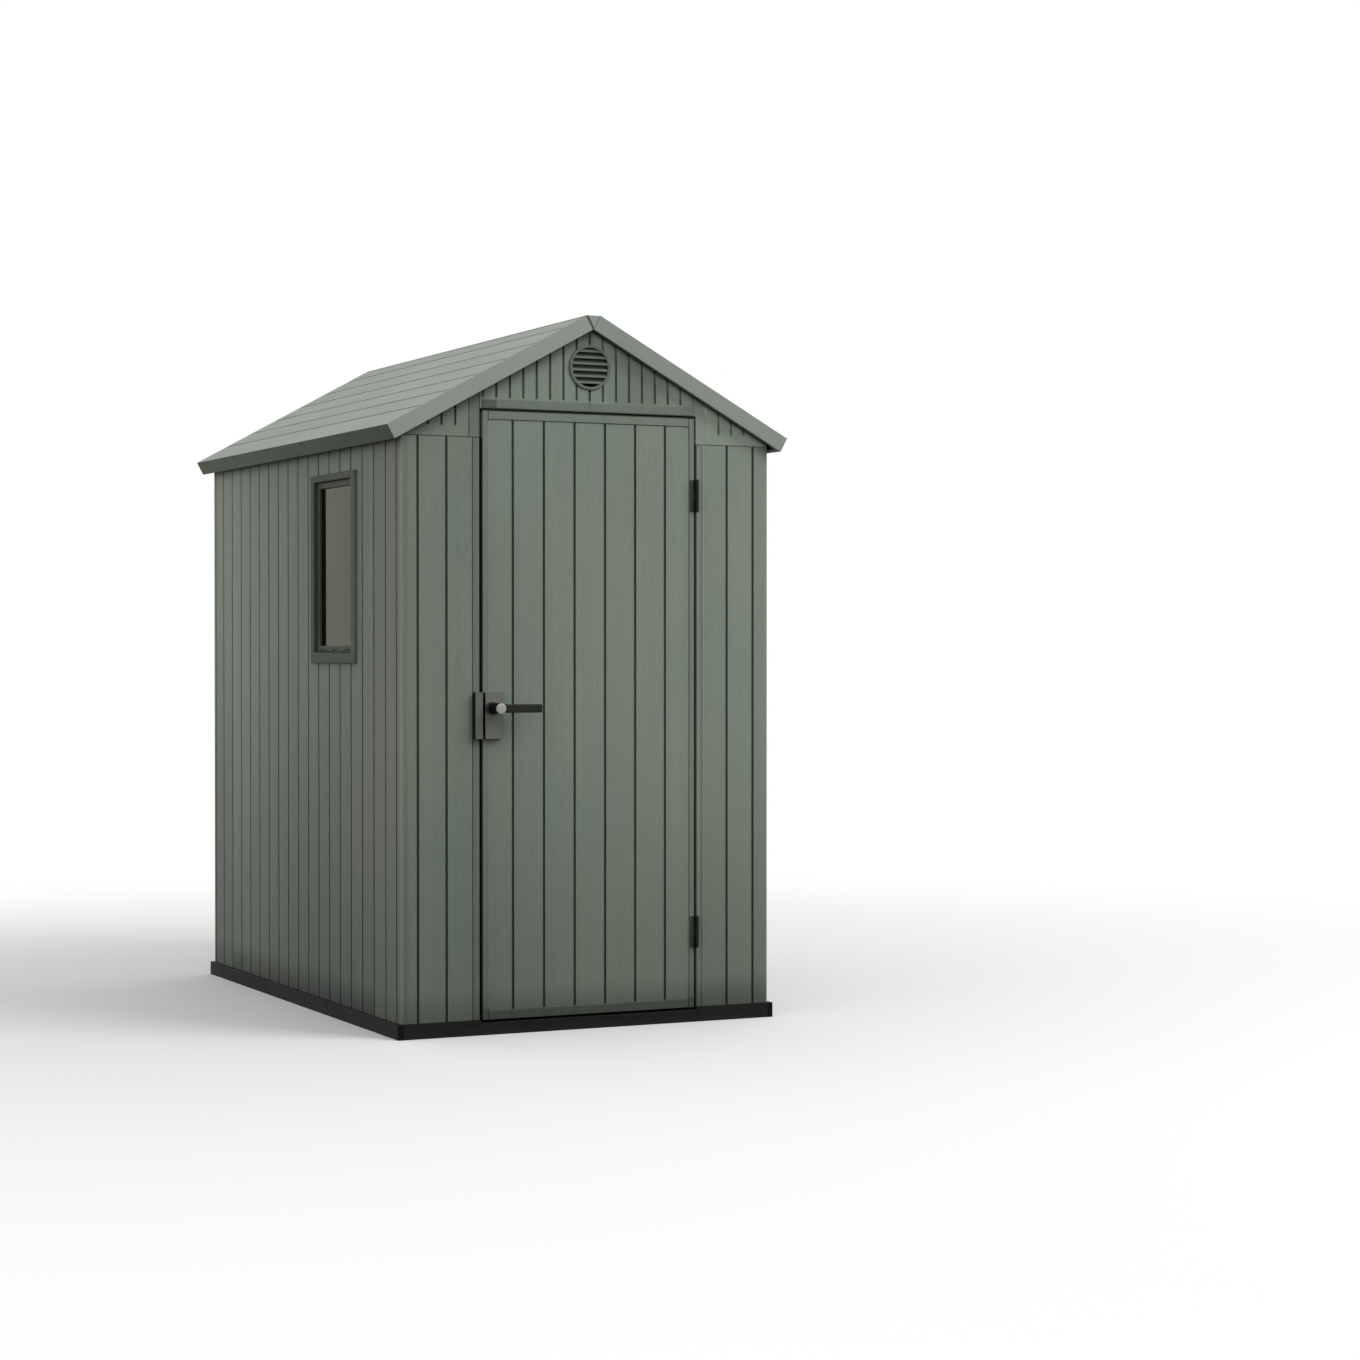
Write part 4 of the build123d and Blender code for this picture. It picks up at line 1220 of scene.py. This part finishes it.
@dataclass
class Walls:
    """Wall panels and gables, kept as packed, each side in its own run of boards."""

    edges: SoftEdges = SoftEdges()
    # Front corner panels: the left is toned darker than the right as painted shade. The band beside the door
    # and the gap at the door are painted shade; the band's edge is painted shade on the left and painted light
    # on the right. The bend of the corner is a painted highlight, with painted shade on the strip before it.
    front_left: BoardPlastic = BoardPlastic(
        "front_left_boards", Run.ACROSS_X, -0.442, 0.086, 3.0, 0.87, (
            Patch("band", -0.13, side=(0.3395, 0.3625, 0.0004), y=FRONT_FACE),
            Patch("edge of the band", -0.75, x=(-0.3647, -0.3603, 0.0006), y=FRONT_FACE),
            Patch("gap at the door", -0.78, side=(0.33, 0.3418, 0.0003), y=(-0.862, -0.866)),
            Patch("bend of the corner", 0.6, side=(0.568, 0.577), end=(0.880, 0.889)),
            Patch("strip before the bend", -0.16, side=(0.558, 0.5725, 0.006), y=(-0.886, -0.890)),
        ),
        foot_shade_and_splash=0.23,
    )
    front_right: BoardPlastic = BoardPlastic(
        "front_right_boards", Run.ACROSS_X, 0.442, 0.086, 19.0, 1.04, (
            Patch("band", -0.03, side=(0.3395, 0.3625, 0.0004), y=FRONT_FACE),
            Patch("edge of the band", 0.4, x=(0.3603, 0.3647, 0.0006), y=FRONT_FACE),
            Patch("gap at the door", -0.78, side=(0.33, 0.3452, 0.0003), y=(-0.862, -0.866)),
        ),
        foot_shade_and_splash=0.3,
    )
    # Side walls: the left is lighter towards its rear end as painted light, and its painted shade at the foot
    # reaches higher.
    left: BoardPlastic = BoardPlastic(
        "left_boards", Run.ACROSS_Y, 0.0, 0.0971, 31.0, 0.96,
        (Patch("lighter rear end", 0.4583, y=(-0.2, 1.1)),), beside_shade_loss=0.2, foot_shade_and_splash=0.36, foot_top=1.25,
    )
    right: BoardPlastic = BoardPlastic(
        "right_boards", Run.ACROSS_Y, 0.0, 0.0971, 67.0, beside_shade_loss=0.2, foot_shade_and_splash=0.32,
    )
    # The lighter left side is painted light on the side returns of the rear corner panels.
    rear: BoardPlastic = BoardPlastic(
        "rear_boards", Run.ACROSS_X, 0.336, 0.096, 101.0, 1.0,
        (Patch("lighter left side", 0.3, x=LEFT_HALF, z=(0.6, 1.3), turned=(0.0, 1.0)),),
    )
    # Gables: the middle seam, the header, the foot line and the right part are painted shade. The bands, their
    # edges and the ears are painted shade on the left and painted light on the right. The barge shade is
    # painted shade, with a painted glow below it on the right.
    gable: BoardPlastic = BoardPlastic(
        "gable_boards", Run.ACROSS_X, 0.0, 0.0415, 151.0, 1.04, (
            Patch("middle seam", -0.45, side=(0.0017, 0.0009)),
            Patch("header", -0.26, z=(1.7755, 1.8022, 0.0006), y=PROUD_FACE),
            # A darker patch at the header's left end.
            Patch("dark_patch", -0.42, x=(-0.2885, -0.2915), z=(1.7755, 1.79775, 0.0007), y=PROUD_FACE),
            Patch("foot", -0.7, side=(0.3405, 0.3730, 0.0004), z=(1.6902, 1.6934, 0.0004), y=FRONT_FACE),
            Patch("right part", -0.22, x=(0.06, 0.245, 0.06), z=(1.8016, 1.8028), y=FRONT_HALF),
            Patch("left band", -0.32, x=(-0.3735, -0.3395, 0.0004), y=FRONT_FACE),
            Patch("right band", 0.10, x=(0.3395, 0.3735, 0.0004), y=FRONT_FACE),
            Patch("edge of the left band", -0.64, x=(-0.3757, -0.3713, 0.0006), y=FRONT_FACE),
            Patch("edge of the right band", 0.4, x=(0.3713, 0.3757, 0.0006), y=FRONT_FACE),
            Patch("left ear", -0.16, x=(-0.3735, -0.3743), y=FRONT_FACE),
            Patch("right ear", 0.12, x=(0.3735, 0.3743), y=FRONT_FACE),
            BargeShade(),
        ),
        groove_shade_loss=0.36, beside_shade_loss=0.06, foot_shade_and_splash=0.0,
    )

    def build(self) -> None:
        """Dress the panels and soften their edges."""
        sides = {
            self.front_left: ("front_left_corner_panel",),
            self.front_right: ("front_right_corner_panel",),
            self.left: ("left_window_panel", "left_rear_panel"),
            self.right: ("right_front_panel", "right_rear_panel"),
            self.rear: ("rear_left_corner_panel", "rear_right_corner_panel", "rear_centre_panel"),
            self.gable: ("front_gable_left", "front_gable_right", "rear_gable_left", "rear_gable_right"),
        }
        for finish, names in sides.items():
            keep(finish.mix(), self.edges, *names)


@dataclass
class Roof:
    """Roof panels, ridge cap and ridge beam, kept as packed."""

    panel_edges: SoftEdges = SoftEdges(width=0.0011, flatten=False)
    cap_edges: SoftEdges = SoftEdges(width=0.0018)
    boards: RoofPlastic = RoofPlastic()
    steel: SatinMetal = SatinMetal("beam_steel", shade(176, 180, 182), 0.38, 0.9, 90.0)

    def build(self) -> None:
        """Dress the panels, the cap and the beam."""
        boards = self.boards.mix()
        keep(boards, self.panel_edges, "roof_left_panel", "roof_right_panel")
        keep(boards, self.cap_edges, "ridge_cap")
        keep(self.steel.mix(), self.panel_edges, "ridge_beam")


@dataclass
class Door:
    """The door leaf, kept as packed."""

    edges: SoftEdges = SoftEdges(width=0.0009)
    boards: BoardPlastic = BoardPlastic(
        "door_boards", Run.ACROSS_X, 0.048, 0.096, 201.0, 1.0, (
            # The jamb gap and the top edge are painted shade of the closed door's gaps, and stay on its edges
            # when it opens. The ledge of the rim, the bottom rail and the lower left part are painted shade.
            Patch("jamb gap", -0.78, side=(0.3334, 0.34, 0.0003), z=(1.692, 1.691), y=(-0.862, -0.866)),
            Patch("rim", -0.14, y=(-0.8932, -0.8938)),
            Patch("ledge of the rim", -0.2558, side=(0.3325, 0.3320), y=(-0.8957, -0.8935, 0.0002)),
            Patch("bottom rail", -0.33, z=(0.0735, 0.0715), y=(-0.8930, -0.8934)),
            Patch("lower left part", -0.08, x=(0.1, -0.33), z=(1.6, 1.3)),
            Patch("top edge", -0.7, z=(1.7655, 1.767)),
        ),
    )

    def build(self) -> None:
        """Dress the door leaf."""
        keep(self.boards.mix(), self.edges, "door_leaf")


@dataclass
class Window:
    """Window frame, sash, pane and inner frame, kept as packed."""

    edges: SoftEdges = SoftEdges(width=0.0012, segments=3)
    plastic: MouldedPlastic = MouldedPlastic("window_plastic", shade(68, 74, 66), 0.55, regions=(
        Patch("lit end of the frame", 0.8, y=(-0.53615, -0.53675)),
        Patch("lit jamb", 0.36, y=(-0.50135, -0.50735), z=(1.0775, 1.595, 0.02)),
        # Painted shade in the slots of the sash.
        Patch("slots of the sash", -0.5, x=(-0.5785, -0.5745, 0.0003), z=(1.0898, 1.0942, 0.0003)),
    ))
    pane: ClearPane = ClearPane()

    def build(self) -> None:
        """Dress the window's pieces."""
        keep(self.plastic.mix(), self.edges, "window_frame", "window_sash", "window_inner_frame")
        dress(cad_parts["window_pane"], self.pane.mix())


@dataclass
class Vents:
    """Round louvred vents: a flanged ring with slanted slats, one in each gable."""

    height: float = 1.903
    face: float = -0.893
    flange_radius: float = 0.065
    flange: float = 0.005
    neck_radius: float = 0.059
    neck_length: float = 0.018
    bore_radius: float = 0.056
    sides: int = 96
    slats: int = 6
    slat_pitch: float = 0.018
    slat_thick: float = 0.003
    slat_rise: float = 0.0165
    slat_run: float = 0.0165
    slat_front: float = -0.8972
    slat_lift: float = 0.0094
    slat_reach: float = 0.0575
    drill: float = 0.1
    # Its groove loss darkens the deeper parts of the louvres as painted shade.
    plastic: BoardPlastic = BoardPlastic(
        "vent_plastic", Run.ACROSS_X, 0.0, 0.5, 231.0, 0.62, groove_shade_loss=0.6, beside_shade_loss=0.0, foot_shade_and_splash=0.0,
    )

    def ring(self) -> Bench:
        """Model the flange, its neck and the bore.

        Returns:
            The ring on the bench.
        """
        front = self.face - self.flange

        def off_axis(place: Vector) -> float:
            """Distance from the vent's axis."""
            return math.dist((place.x, place.z), (0.0, self.height))

        middle = (0.0, self.face - self.flange / 2, self.height)
        ring = Bench.rod("front_vent_louvre", middle, self.flange_radius, self.flange, Along.Y, self.sides)
        ring.pick(Part.FACE, facing(0, 1, 0))
        ring.inset(self.flange_radius - self.neck_radius).push((0.0, self.neck_length, 0.0))
        ring.inset(self.neck_radius - self.bore_radius)
        ring.pick(Part.FACE, facing(0, -1, 0)).inset(self.flange_radius - self.bore_radius)
        centre = self.bore_radius / 2
        ring.pick(Part.FACE, lambda place, normal: abs(normal.y) > 0.9 and off_axis(place) < centre).bridge()
        for radius, width in ((self.flange_radius, 0.0018), (self.bore_radius, 0.0022)):
            ring.pick(
                Part.EDGE,
                lambda place, way: abs(off_axis(place) - radius) < 3 * CLOSE and abs(place.y - front) < CLOSE,
            ).round(width, 3)
        return ring

    def louvres(self) -> Bench:
        """Model one slanted slat, repeat it and trim the row to the bore.

        Returns:
            The slats on the bench.
        """
        lowest = self.height + self.slat_lift - self.slat_pitch * (self.slats - 1) / 2 - self.slat_rise / 2
        slat = Bench.block(
            "slats",
            (-self.slat_reach, self.slat_front, lowest - self.slat_thick),
            (self.slat_reach, self.slat_front + self.slat_run, lowest),
        )
        slat.pick(Part.FACE, facing(0, 1, 0)).shift((0.0, 0.0, self.slat_rise))
        slat.pick(Part.EDGE, lambda place, way: abs(way.x) > ALIGNED).round(0.0008, 2)
        slat.repeat(self.slats, (0.0, 0.0, self.slat_pitch))
        middle = (0.0, self.face, self.height)
        bore = Bench.rod("bore", middle, self.slat_reach, self.drill, Along.Y, self.sides)
        return slat.combine(bore, Join.KEEP)

    def build(self) -> None:
        """Model the front vent, copy it and turn the copy to the rear."""
        plastic = self.plastic.mix()
        front = self.ring().gather(self.louvres())
        stand_for(front.done(), plastic, "front_vent", "shed")
        rear = front.copy("rear_vent_louvre").open(whole=True)
        bpy.ops.transform.rotate(value=math.pi, orient_axis="Z", center_override=(0.0, 0.0, 0.0))
        stand_for(rear.done(), plastic, "rear_vent", "shed")


@dataclass
class Hinges:
    """Two hinges, each of a door leaf, a wall leaf and a pin."""

    upper: float = 1.542
    lower: float = 0.264
    tall: float = 0.092
    knuckles: int = 3
    gap: float = 0.0004
    pin_x: float = HINGE_AXIS[0]
    pin_y: float = HINGE_AXIS[1]
    knuckle_radius: float = 0.0055
    pin_radius: float = 0.0025
    bore_play: float = 0.00006
    head: float = 0.0015
    leaf_thick: float = 0.003
    door_leaf_x: Pair = (0.3195, 0.3335)
    door_web: tuple[Pair, Pair] = ((0.327, 0.334), (0.332, HINGE_AXIS[0]))
    door_face: float = -0.896
    wall_leaf_x: Pair = (0.3415, 0.3525)
    wall_web: tuple[Pair, Pair] = ((0.3415, 0.3465), (HINGE_AXIS[0], 0.343))
    wall_face: float = -0.890
    corner: float = 0.003
    soft_edge: float = 0.0006
    knuckle_edge: float = 0.0005
    head_edge: float = 0.0007
    sides: int = 40
    plastic: HingePlastic = HingePlastic()

    def leaf(self, name: str, span: Pair, face: float, outer: float) -> Bench:
        """Model the flat leaf, with its two free corners cut.

        Args:
            name: Name of the piece.
            span: Lowest and highest X.
            face: Y of the surface it is fixed to.
            outer: X of its free edge.

        Returns:
            The leaf on the bench.
        """
        bottom, front = self.upper - self.tall / 2, face - self.leaf_thick
        plate = Bench.block(name, (span[0], front, bottom), (span[1], face, bottom + self.tall))
        plate.pick(Part.EDGE, lambda place, way: abs(way.y) > ALIGNED and abs(place.x - outer) < CLOSE)
        plate.round(self.corner, 3)
        return plate.pick(Part.EDGE, lambda place, way: abs(place.y - front) < CLOSE).round(self.soft_edge, 2)

    def knuckle(self, number: int, face: float, foot: Pair, tip: Pair) -> Bench:
        """Model one knuckle with the web that carries it.

        Args:
            number: Which knuckle, counted from the bottom.
            face: Y of the web's foot.
            foot: Lowest and highest X of the web at its foot.
            tip: Lowest and highest X of the web at the pin.

        Returns:
            The knuckle on the bench.
        """
        tall = (self.tall - (self.knuckles - 1) * self.gap) / self.knuckles
        bottom = self.upper - self.tall / 2 + number * (tall + self.gap)
        web = Bench.block("web", (foot[0], self.pin_y, bottom), (foot[1], face, bottom + tall))
        for start, end in zip(foot, tip):
            web.pick(
                Part.EDGE,
                lambda place, way: abs(place.y - self.pin_y) < CLOSE and abs(place.x - start) < CLOSE,
            ).shift((end - start, 0.0, 0.0))
        middle = (self.pin_x, self.pin_y, bottom + tall / 2)
        barrel = Bench.rod("barrel", middle, self.knuckle_radius, tall, Along.Z, self.sides)
        barrel.pick(Part.EDGE, lambda place, way: abs(way.z) < CROSSWISE).round(self.knuckle_edge, 2)
        return barrel.combine(web, Join.UNION)

    def bored(self, piece: Bench) -> Bench:
        """Cut the pin's bore through a leaf's knuckles.

        Args:
            piece: Leaf with its knuckles.

        Returns:
            The same bench.
        """
        middle = (self.pin_x, self.pin_y, self.upper)
        radius = self.pin_radius + self.bore_play
        drill = Bench.rod("drill", middle, radius, 2 * self.tall, Along.Z, self.sides)
        return piece.combine(drill, Join.CUT)

    def door_side(self) -> Bench:
        """Model the leaf that is fixed to the door."""
        plate = self.leaf("upper_hinge_door_side", self.door_leaf_x, self.door_face, self.door_leaf_x[0])
        return self.bored(plate.combine(self.knuckle(1, self.door_face, *self.door_web), Join.UNION))

    def wall_side(self) -> Bench:
        """Model the leaf that is fixed to the jamb.

        Returns:
            The leaf on the bench.
        """
        plate = self.leaf("upper_hinge_wall_side", self.wall_leaf_x, self.wall_face, self.wall_leaf_x[1])
        for number in (0, self.knuckles - 1):
            plate.combine(self.knuckle(number, self.wall_face, *self.wall_web), Join.UNION)
        return self.bored(plate)

    def pin(self) -> Bench:
        """Model the pin, with a round head on top.

        Returns:
            The pin on the bench.
        """
        top = self.upper + self.tall / 2
        middle = (self.pin_x, self.pin_y, self.upper)
        pin = Bench.rod("upper_hinge_rod", middle, self.pin_radius, self.tall, Along.Z, self.sides)
        wider = self.knuckle_radius / self.pin_radius
        pin.pick(Part.FACE, facing(0, 0, 1)).push((0.0, 0.0, 0.0))
        pin.grow((wider, wider, 1.0), (self.pin_x, self.pin_y, top)).push((0.0, 0.0, self.head))
        crown = top + self.head
        return pin.pick(Part.EDGE, lambda place, way: abs(place.z - crown) < CLOSE).round(self.head_edge, 3)

    def build(self) -> None:
        """Model the upper hinge, then copy it down to the lower one."""
        plastic = self.plastic.mix()
        for bench, node, body in (
            (self.door_side(), "hinge_door_leaf", "door"),
            (self.wall_side(), "hinge_wall_leaf", "shed"),
            (self.pin(), "hinge_pin", "shed"),
        ):
            stand_for(bench.done(), plastic, f"upper_{node}", body)
            lower = bench.copy(bench.piece.name.replace("upper", "lower")).open(whole=True)
            lower.shift((0.0, 0.0, self.lower - self.upper))
            stand_for(lower.done(), plastic, f"lower_{node}", body)


@dataclass
class Lock:
    """Lock case on the door and its keeper on the jamb."""

    bottom: float = 0.839
    top: float = 0.971
    front: float = -0.913
    case_x: Pair = (-0.332, -0.277)
    case_back: float = -0.896
    pad_x: float = -0.3125
    pad_back: float = -0.893
    pad_overlap: float = 0.002
    keeper_x: Pair = (-0.362, -0.3395)
    keeper_back: float = -0.890
    bore_radius: float = 0.00576
    bore_depth: float = 0.014
    bore_sides: int = 48
    drill: float = 0.04
    case_rim: float = 0.0016
    keeper_rim: float = 0.0010
    case_corner: float = 0.004
    keeper_corner: float = 0.0034
    front_edge: float = 0.0012
    dish: float = 0.0004
    case: FacedPlastic = FacedPlastic("lock_case_plastic", regions=(
        Spot("shade behind the hub", -0.82, (-0.3165, 0.9255), (0.0189, 0.0161)),
    ))
    keeper: FacedPlastic = FacedPlastic("keeper_plastic", face=shade(93, 94, 88))

    def shell(self, name: str, span: Pair, back: float, corner: float, rim: float) -> Bench:
        """Model a plain case with rounded corners and a slightly sunk front plate.

        Args:
            name: Name of the piece.
            span: Lowest and highest X.
            back: Y of its back.
            corner: Radius of its corners, seen from the front.
            rim: Width of the raised rim round the front plate.

        Returns:
            The case on the bench.
        """
        shell = Bench.block(name, (span[0], self.front, self.bottom), (span[1], back, self.top))
        shell.pick(Part.EDGE, lambda place, way: abs(way.y) > ALIGNED).round(corner, 5)
        shell.pick(Part.EDGE, lambda place, way: abs(place.y - self.front) < CLOSE).round(self.front_edge, 3)
        shell.pick(Part.FACE, facing(0, -1, 0)).inset(rim)
        return shell.push((0.0, self.dish, 0.0)).inset(self.dish)

    def build(self) -> None:
        """Model the case, with its pad and the lever's bore, and the keeper."""
        case = self.shell("lock_case_cover", self.case_x, self.case_back, self.case_corner, self.case_rim)
        low = (self.pad_x, self.case_back - self.pad_overlap, self.bottom)
        case.combine(Bench.block("pad", low, (self.case_x[1], self.pad_back, self.top)), Join.UNION)
        middle = (LEVER_AXIS[0], self.front + self.bore_depth - self.drill / 2, LEVER_AXIS[1])
        bore = Bench.rod("bore", middle, self.bore_radius, self.drill, Along.Y, self.bore_sides)
        case.combine(bore, Join.CUT)
        stand_for(case.done(), self.case.mix(), "lock_case", "door")
        keeper = self.shell(
            "lock_keeper_cover", self.keeper_x, self.keeper_back, self.keeper_corner, self.keeper_rim
        )
        stand_for(keeper.done(), self.keeper.mix(), "lock_keeper", "shed")


@dataclass
class Lever:
    """Lever handle with a metal cap, on a square spindle."""

    hub_back: float = -0.9135
    hub_front: float = -0.9655
    hub_radius: float = 0.017
    hub_tip_radius: float = 0.0145
    bar_end: float = -0.177
    bar_tall: float = 0.024
    bar_front: float = -0.9625
    bar_back: float = -0.9495
    bar_corner: float = 0.0055
    bar_edge: float = 0.0038
    hub_edge: float = 0.0008
    bore: float = 0.008
    bore_depth: float = 0.014
    cap_radius: float = 0.0150
    cap_front: float = -0.9695
    dome: tuple[Pair, ...] = ((0.0012, 0.0009), (0.0035, 0.0007), (0.0045, 0.0003), (0.004, 0.0001))
    dome_smooth: float = 40.0
    sides: int = 64
    plastic: MouldedPlastic = MouldedPlastic(
        "lever_plastic", shade(27, 32, 22), 0.45, dusty=0.02,
        regions=(Spot("dark hub", -0.75, LEVER_AXIS, (0.022, 0.019)),),
        clean=(Spot("clean hub", -0.7, LEVER_AXIS, (0.022, 0.019)),),
    )
    metal: SatinMetal = SatinMetal("cap_metal", shade(143, 144, 140), 0.46, 0.2, 500.0)
    steel: SatinMetal = SatinMetal("spindle_steel", shade(176, 180, 182), 0.38, 0.9, 300.0)
    spindle_edges: SoftEdges = SoftEdges(width=0.0004)

    def handle(self) -> Bench:
        """Model the tapered hub and the flat bar with rounded edges.

        Returns:
            The handle on the bench.
        """
        x, z = LEVER_AXIS
        length = self.hub_back - self.hub_front
        middle = (x, (self.hub_back + self.hub_front) / 2, z)
        hub = Bench.rod("lever_grip", middle, self.hub_radius, length, Along.Y, self.sides)
        taper = self.hub_tip_radius / self.hub_radius
        hub.pick(Part.FACE, facing(0, -1, 0)).grow((taper, 1.0, taper), (x, self.hub_front, z))
        hub.pick(Part.EDGE, lambda place, way: abs(way.y) < CROSSWISE).round(self.hub_edge, 3)
        half = self.bar_tall / 2
        bar = Bench.block("bar", (x, self.bar_front, z - half), (self.bar_end, self.bar_back, z + half))
        bar.pick(Part.EDGE, lambda place, way: abs(way.y) > ALIGNED and place.x > self.bar_end - CLOSE)
        bar.round(self.bar_corner, 5)
        bar.pick(Part.EDGE, lambda place, way: abs(way.y) < CROSSWISE and place.x > x + CLOSE)
        bar.round(self.bar_edge, 5)
        hub.combine(bar, Join.UNION)
        hole = self.bore / 2
        low = (x - hole, self.hub_back - self.bore_depth, z - hole)
        high = (x + hole, self.hub_back + self.bore, z + hole)
        return hub.combine(Bench.block("drill", low, high), Join.CUT)

    def cap(self) -> Bench:
        """Model the cap as a low dome.

        Returns:
            The cap on the bench.
        """
        rim = (self.hub_front - self.cap_front) / 2
        middle = (LEVER_AXIS[0], self.hub_front - rim / 2, LEVER_AXIS[1])
        cap = Bench.rod("lever_cap_dome", middle, self.cap_radius, rim, Along.Y, self.sides)
        cap.pick(Part.FACE, facing(0, -1, 0))
        for step, lift in self.dome:
            cap.inset(step).shift((0.0, -lift, 0.0))
        return cap

    def build(self) -> None:
        """Model the handle and the cap, and dress the spindle."""
        stand_for(self.handle().done(), self.plastic.mix(), "lever_handle", "handle")
        stand_for(self.cap().done(self.dome_smooth), self.metal.mix(), "lever_cap", "handle")
        keep(self.steel.mix(), self.spindle_edges, "lever_spindle")


# Studio


@dataclass
class Studio:
    """Pale floor, white surroundings, soft light from the sky and a soft lamp at the front right."""

    floor_radius: float = 40.0
    floor_seen: float = 0.66
    floor_bounce: float = 0.06
    fade: Pair = (1.6, 5.0)
    sky: float = 1.05
    key_place: Point = (4.5, -5.85, 6.6)
    key_aim: Point = (0.0, -0.9, 1.2)
    key_size: float = 4.5
    key_power: float = 463.0

    def build(self) -> None:
        """Make the floor, the surroundings and the lamp."""
        self.floor()
        self.surroundings()
        self.key()
        log.info("studio ready")

    def floor(self) -> None:
        """Lay a large pale disc that fades to white with distance."""
        clear_bench()
        bpy.ops.mesh.primitive_circle_add(vertices=96, radius=self.floor_radius, fill_type="NGON")
        disc = bpy.context.active_object
        disc.name = "studio_floor"
        recipe = Recipe.material("studio_floor")
        seen = recipe.seen()
        x, y, *_ = recipe.place().values()
        level = self.floor_bounce + seen * (self.floor_seen - self.floor_bounce)
        matt = recipe.node("ShaderNodeBsdfDiffuse", {}, {"Color": recipe.vector(level, level, level)})
        white = recipe.node("ShaderNodeEmission", {}, {"Color": WHITE, "Strength": 1.0})
        share = recipe.reach(x, y).ramp(*self.fade) * seen
        dress(disc, recipe.close(recipe.node("ShaderNodeMixShader", {}, {0: share, 1: matt, 2: white})))

    def surroundings(self) -> None:
        """Make the world white where it is seen, and a plain soft light elsewhere."""
        world = bpy.data.worlds.new("studio")
        recipe = Recipe(world)
        feeds = {"Color": WHITE, "Strength": self.sky + recipe.seen() * (1.0 - self.sky)}
        recipe.close(recipe.node("ShaderNodeBackground", {}, feeds))
        bpy.context.scene.world = world

    def key(self) -> None:
        """Hang the soft lamp and aim it at the door."""
        light = bpy.data.lights.new("key", "AREA")
        light.shape = "SQUARE"
        light.size = self.key_size
        light.energy = self.key_power
        holder = bpy.data.objects.new("key", light)
        holder.location = self.key_place
        way = Vector(self.key_aim) - Vector(self.key_place)
        holder.rotation_euler = way.to_track_quat("-Z", "Y").to_euler()
        holder.visible_camera = False
        bpy.context.scene.collection.objects.link(holder)


@dataclass
class PhotoCamera:
    """Camera that sees the shed as the photograph does."""

    place: Point = (-3.3476, -8.3339, 1.0960)
    yaw: float = math.radians(26.0465)
    dip: float = math.radians(0.646)
    lens: float = 74.93
    sensor: float = 36.0

    def build(self) -> None:
        """Make the camera and look through it."""
        data = bpy.data.cameras.new("photo_camera")
        data.lens = self.lens
        data.sensor_width = self.sensor
        camera = bpy.data.objects.new("photo_camera", data)
        camera.location = self.place
        camera.rotation_euler = (math.pi / 2 - self.dip, 0.0, -self.yaw)
        bpy.context.scene.collection.objects.link(camera)
        bpy.context.scene.camera = camera
        log.info("camera ready")


def main() -> None:
    """Build and dress the shed, then light it and look at it."""
    logging.basicConfig(level=logging.INFO, format="%(name)s: %(message)s")
    assemblies = (
        Base(), Walls(), Roof(), Door(), Window(), Vents(), Hinges(), Lock(), Lever(), Studio(), PhotoCamera()
    )
    for assembly in assemblies:
        assembly.build()
    bpy.context.scene.view_settings.view_transform = "Standard"


if __name__ == "__main__":
    main()
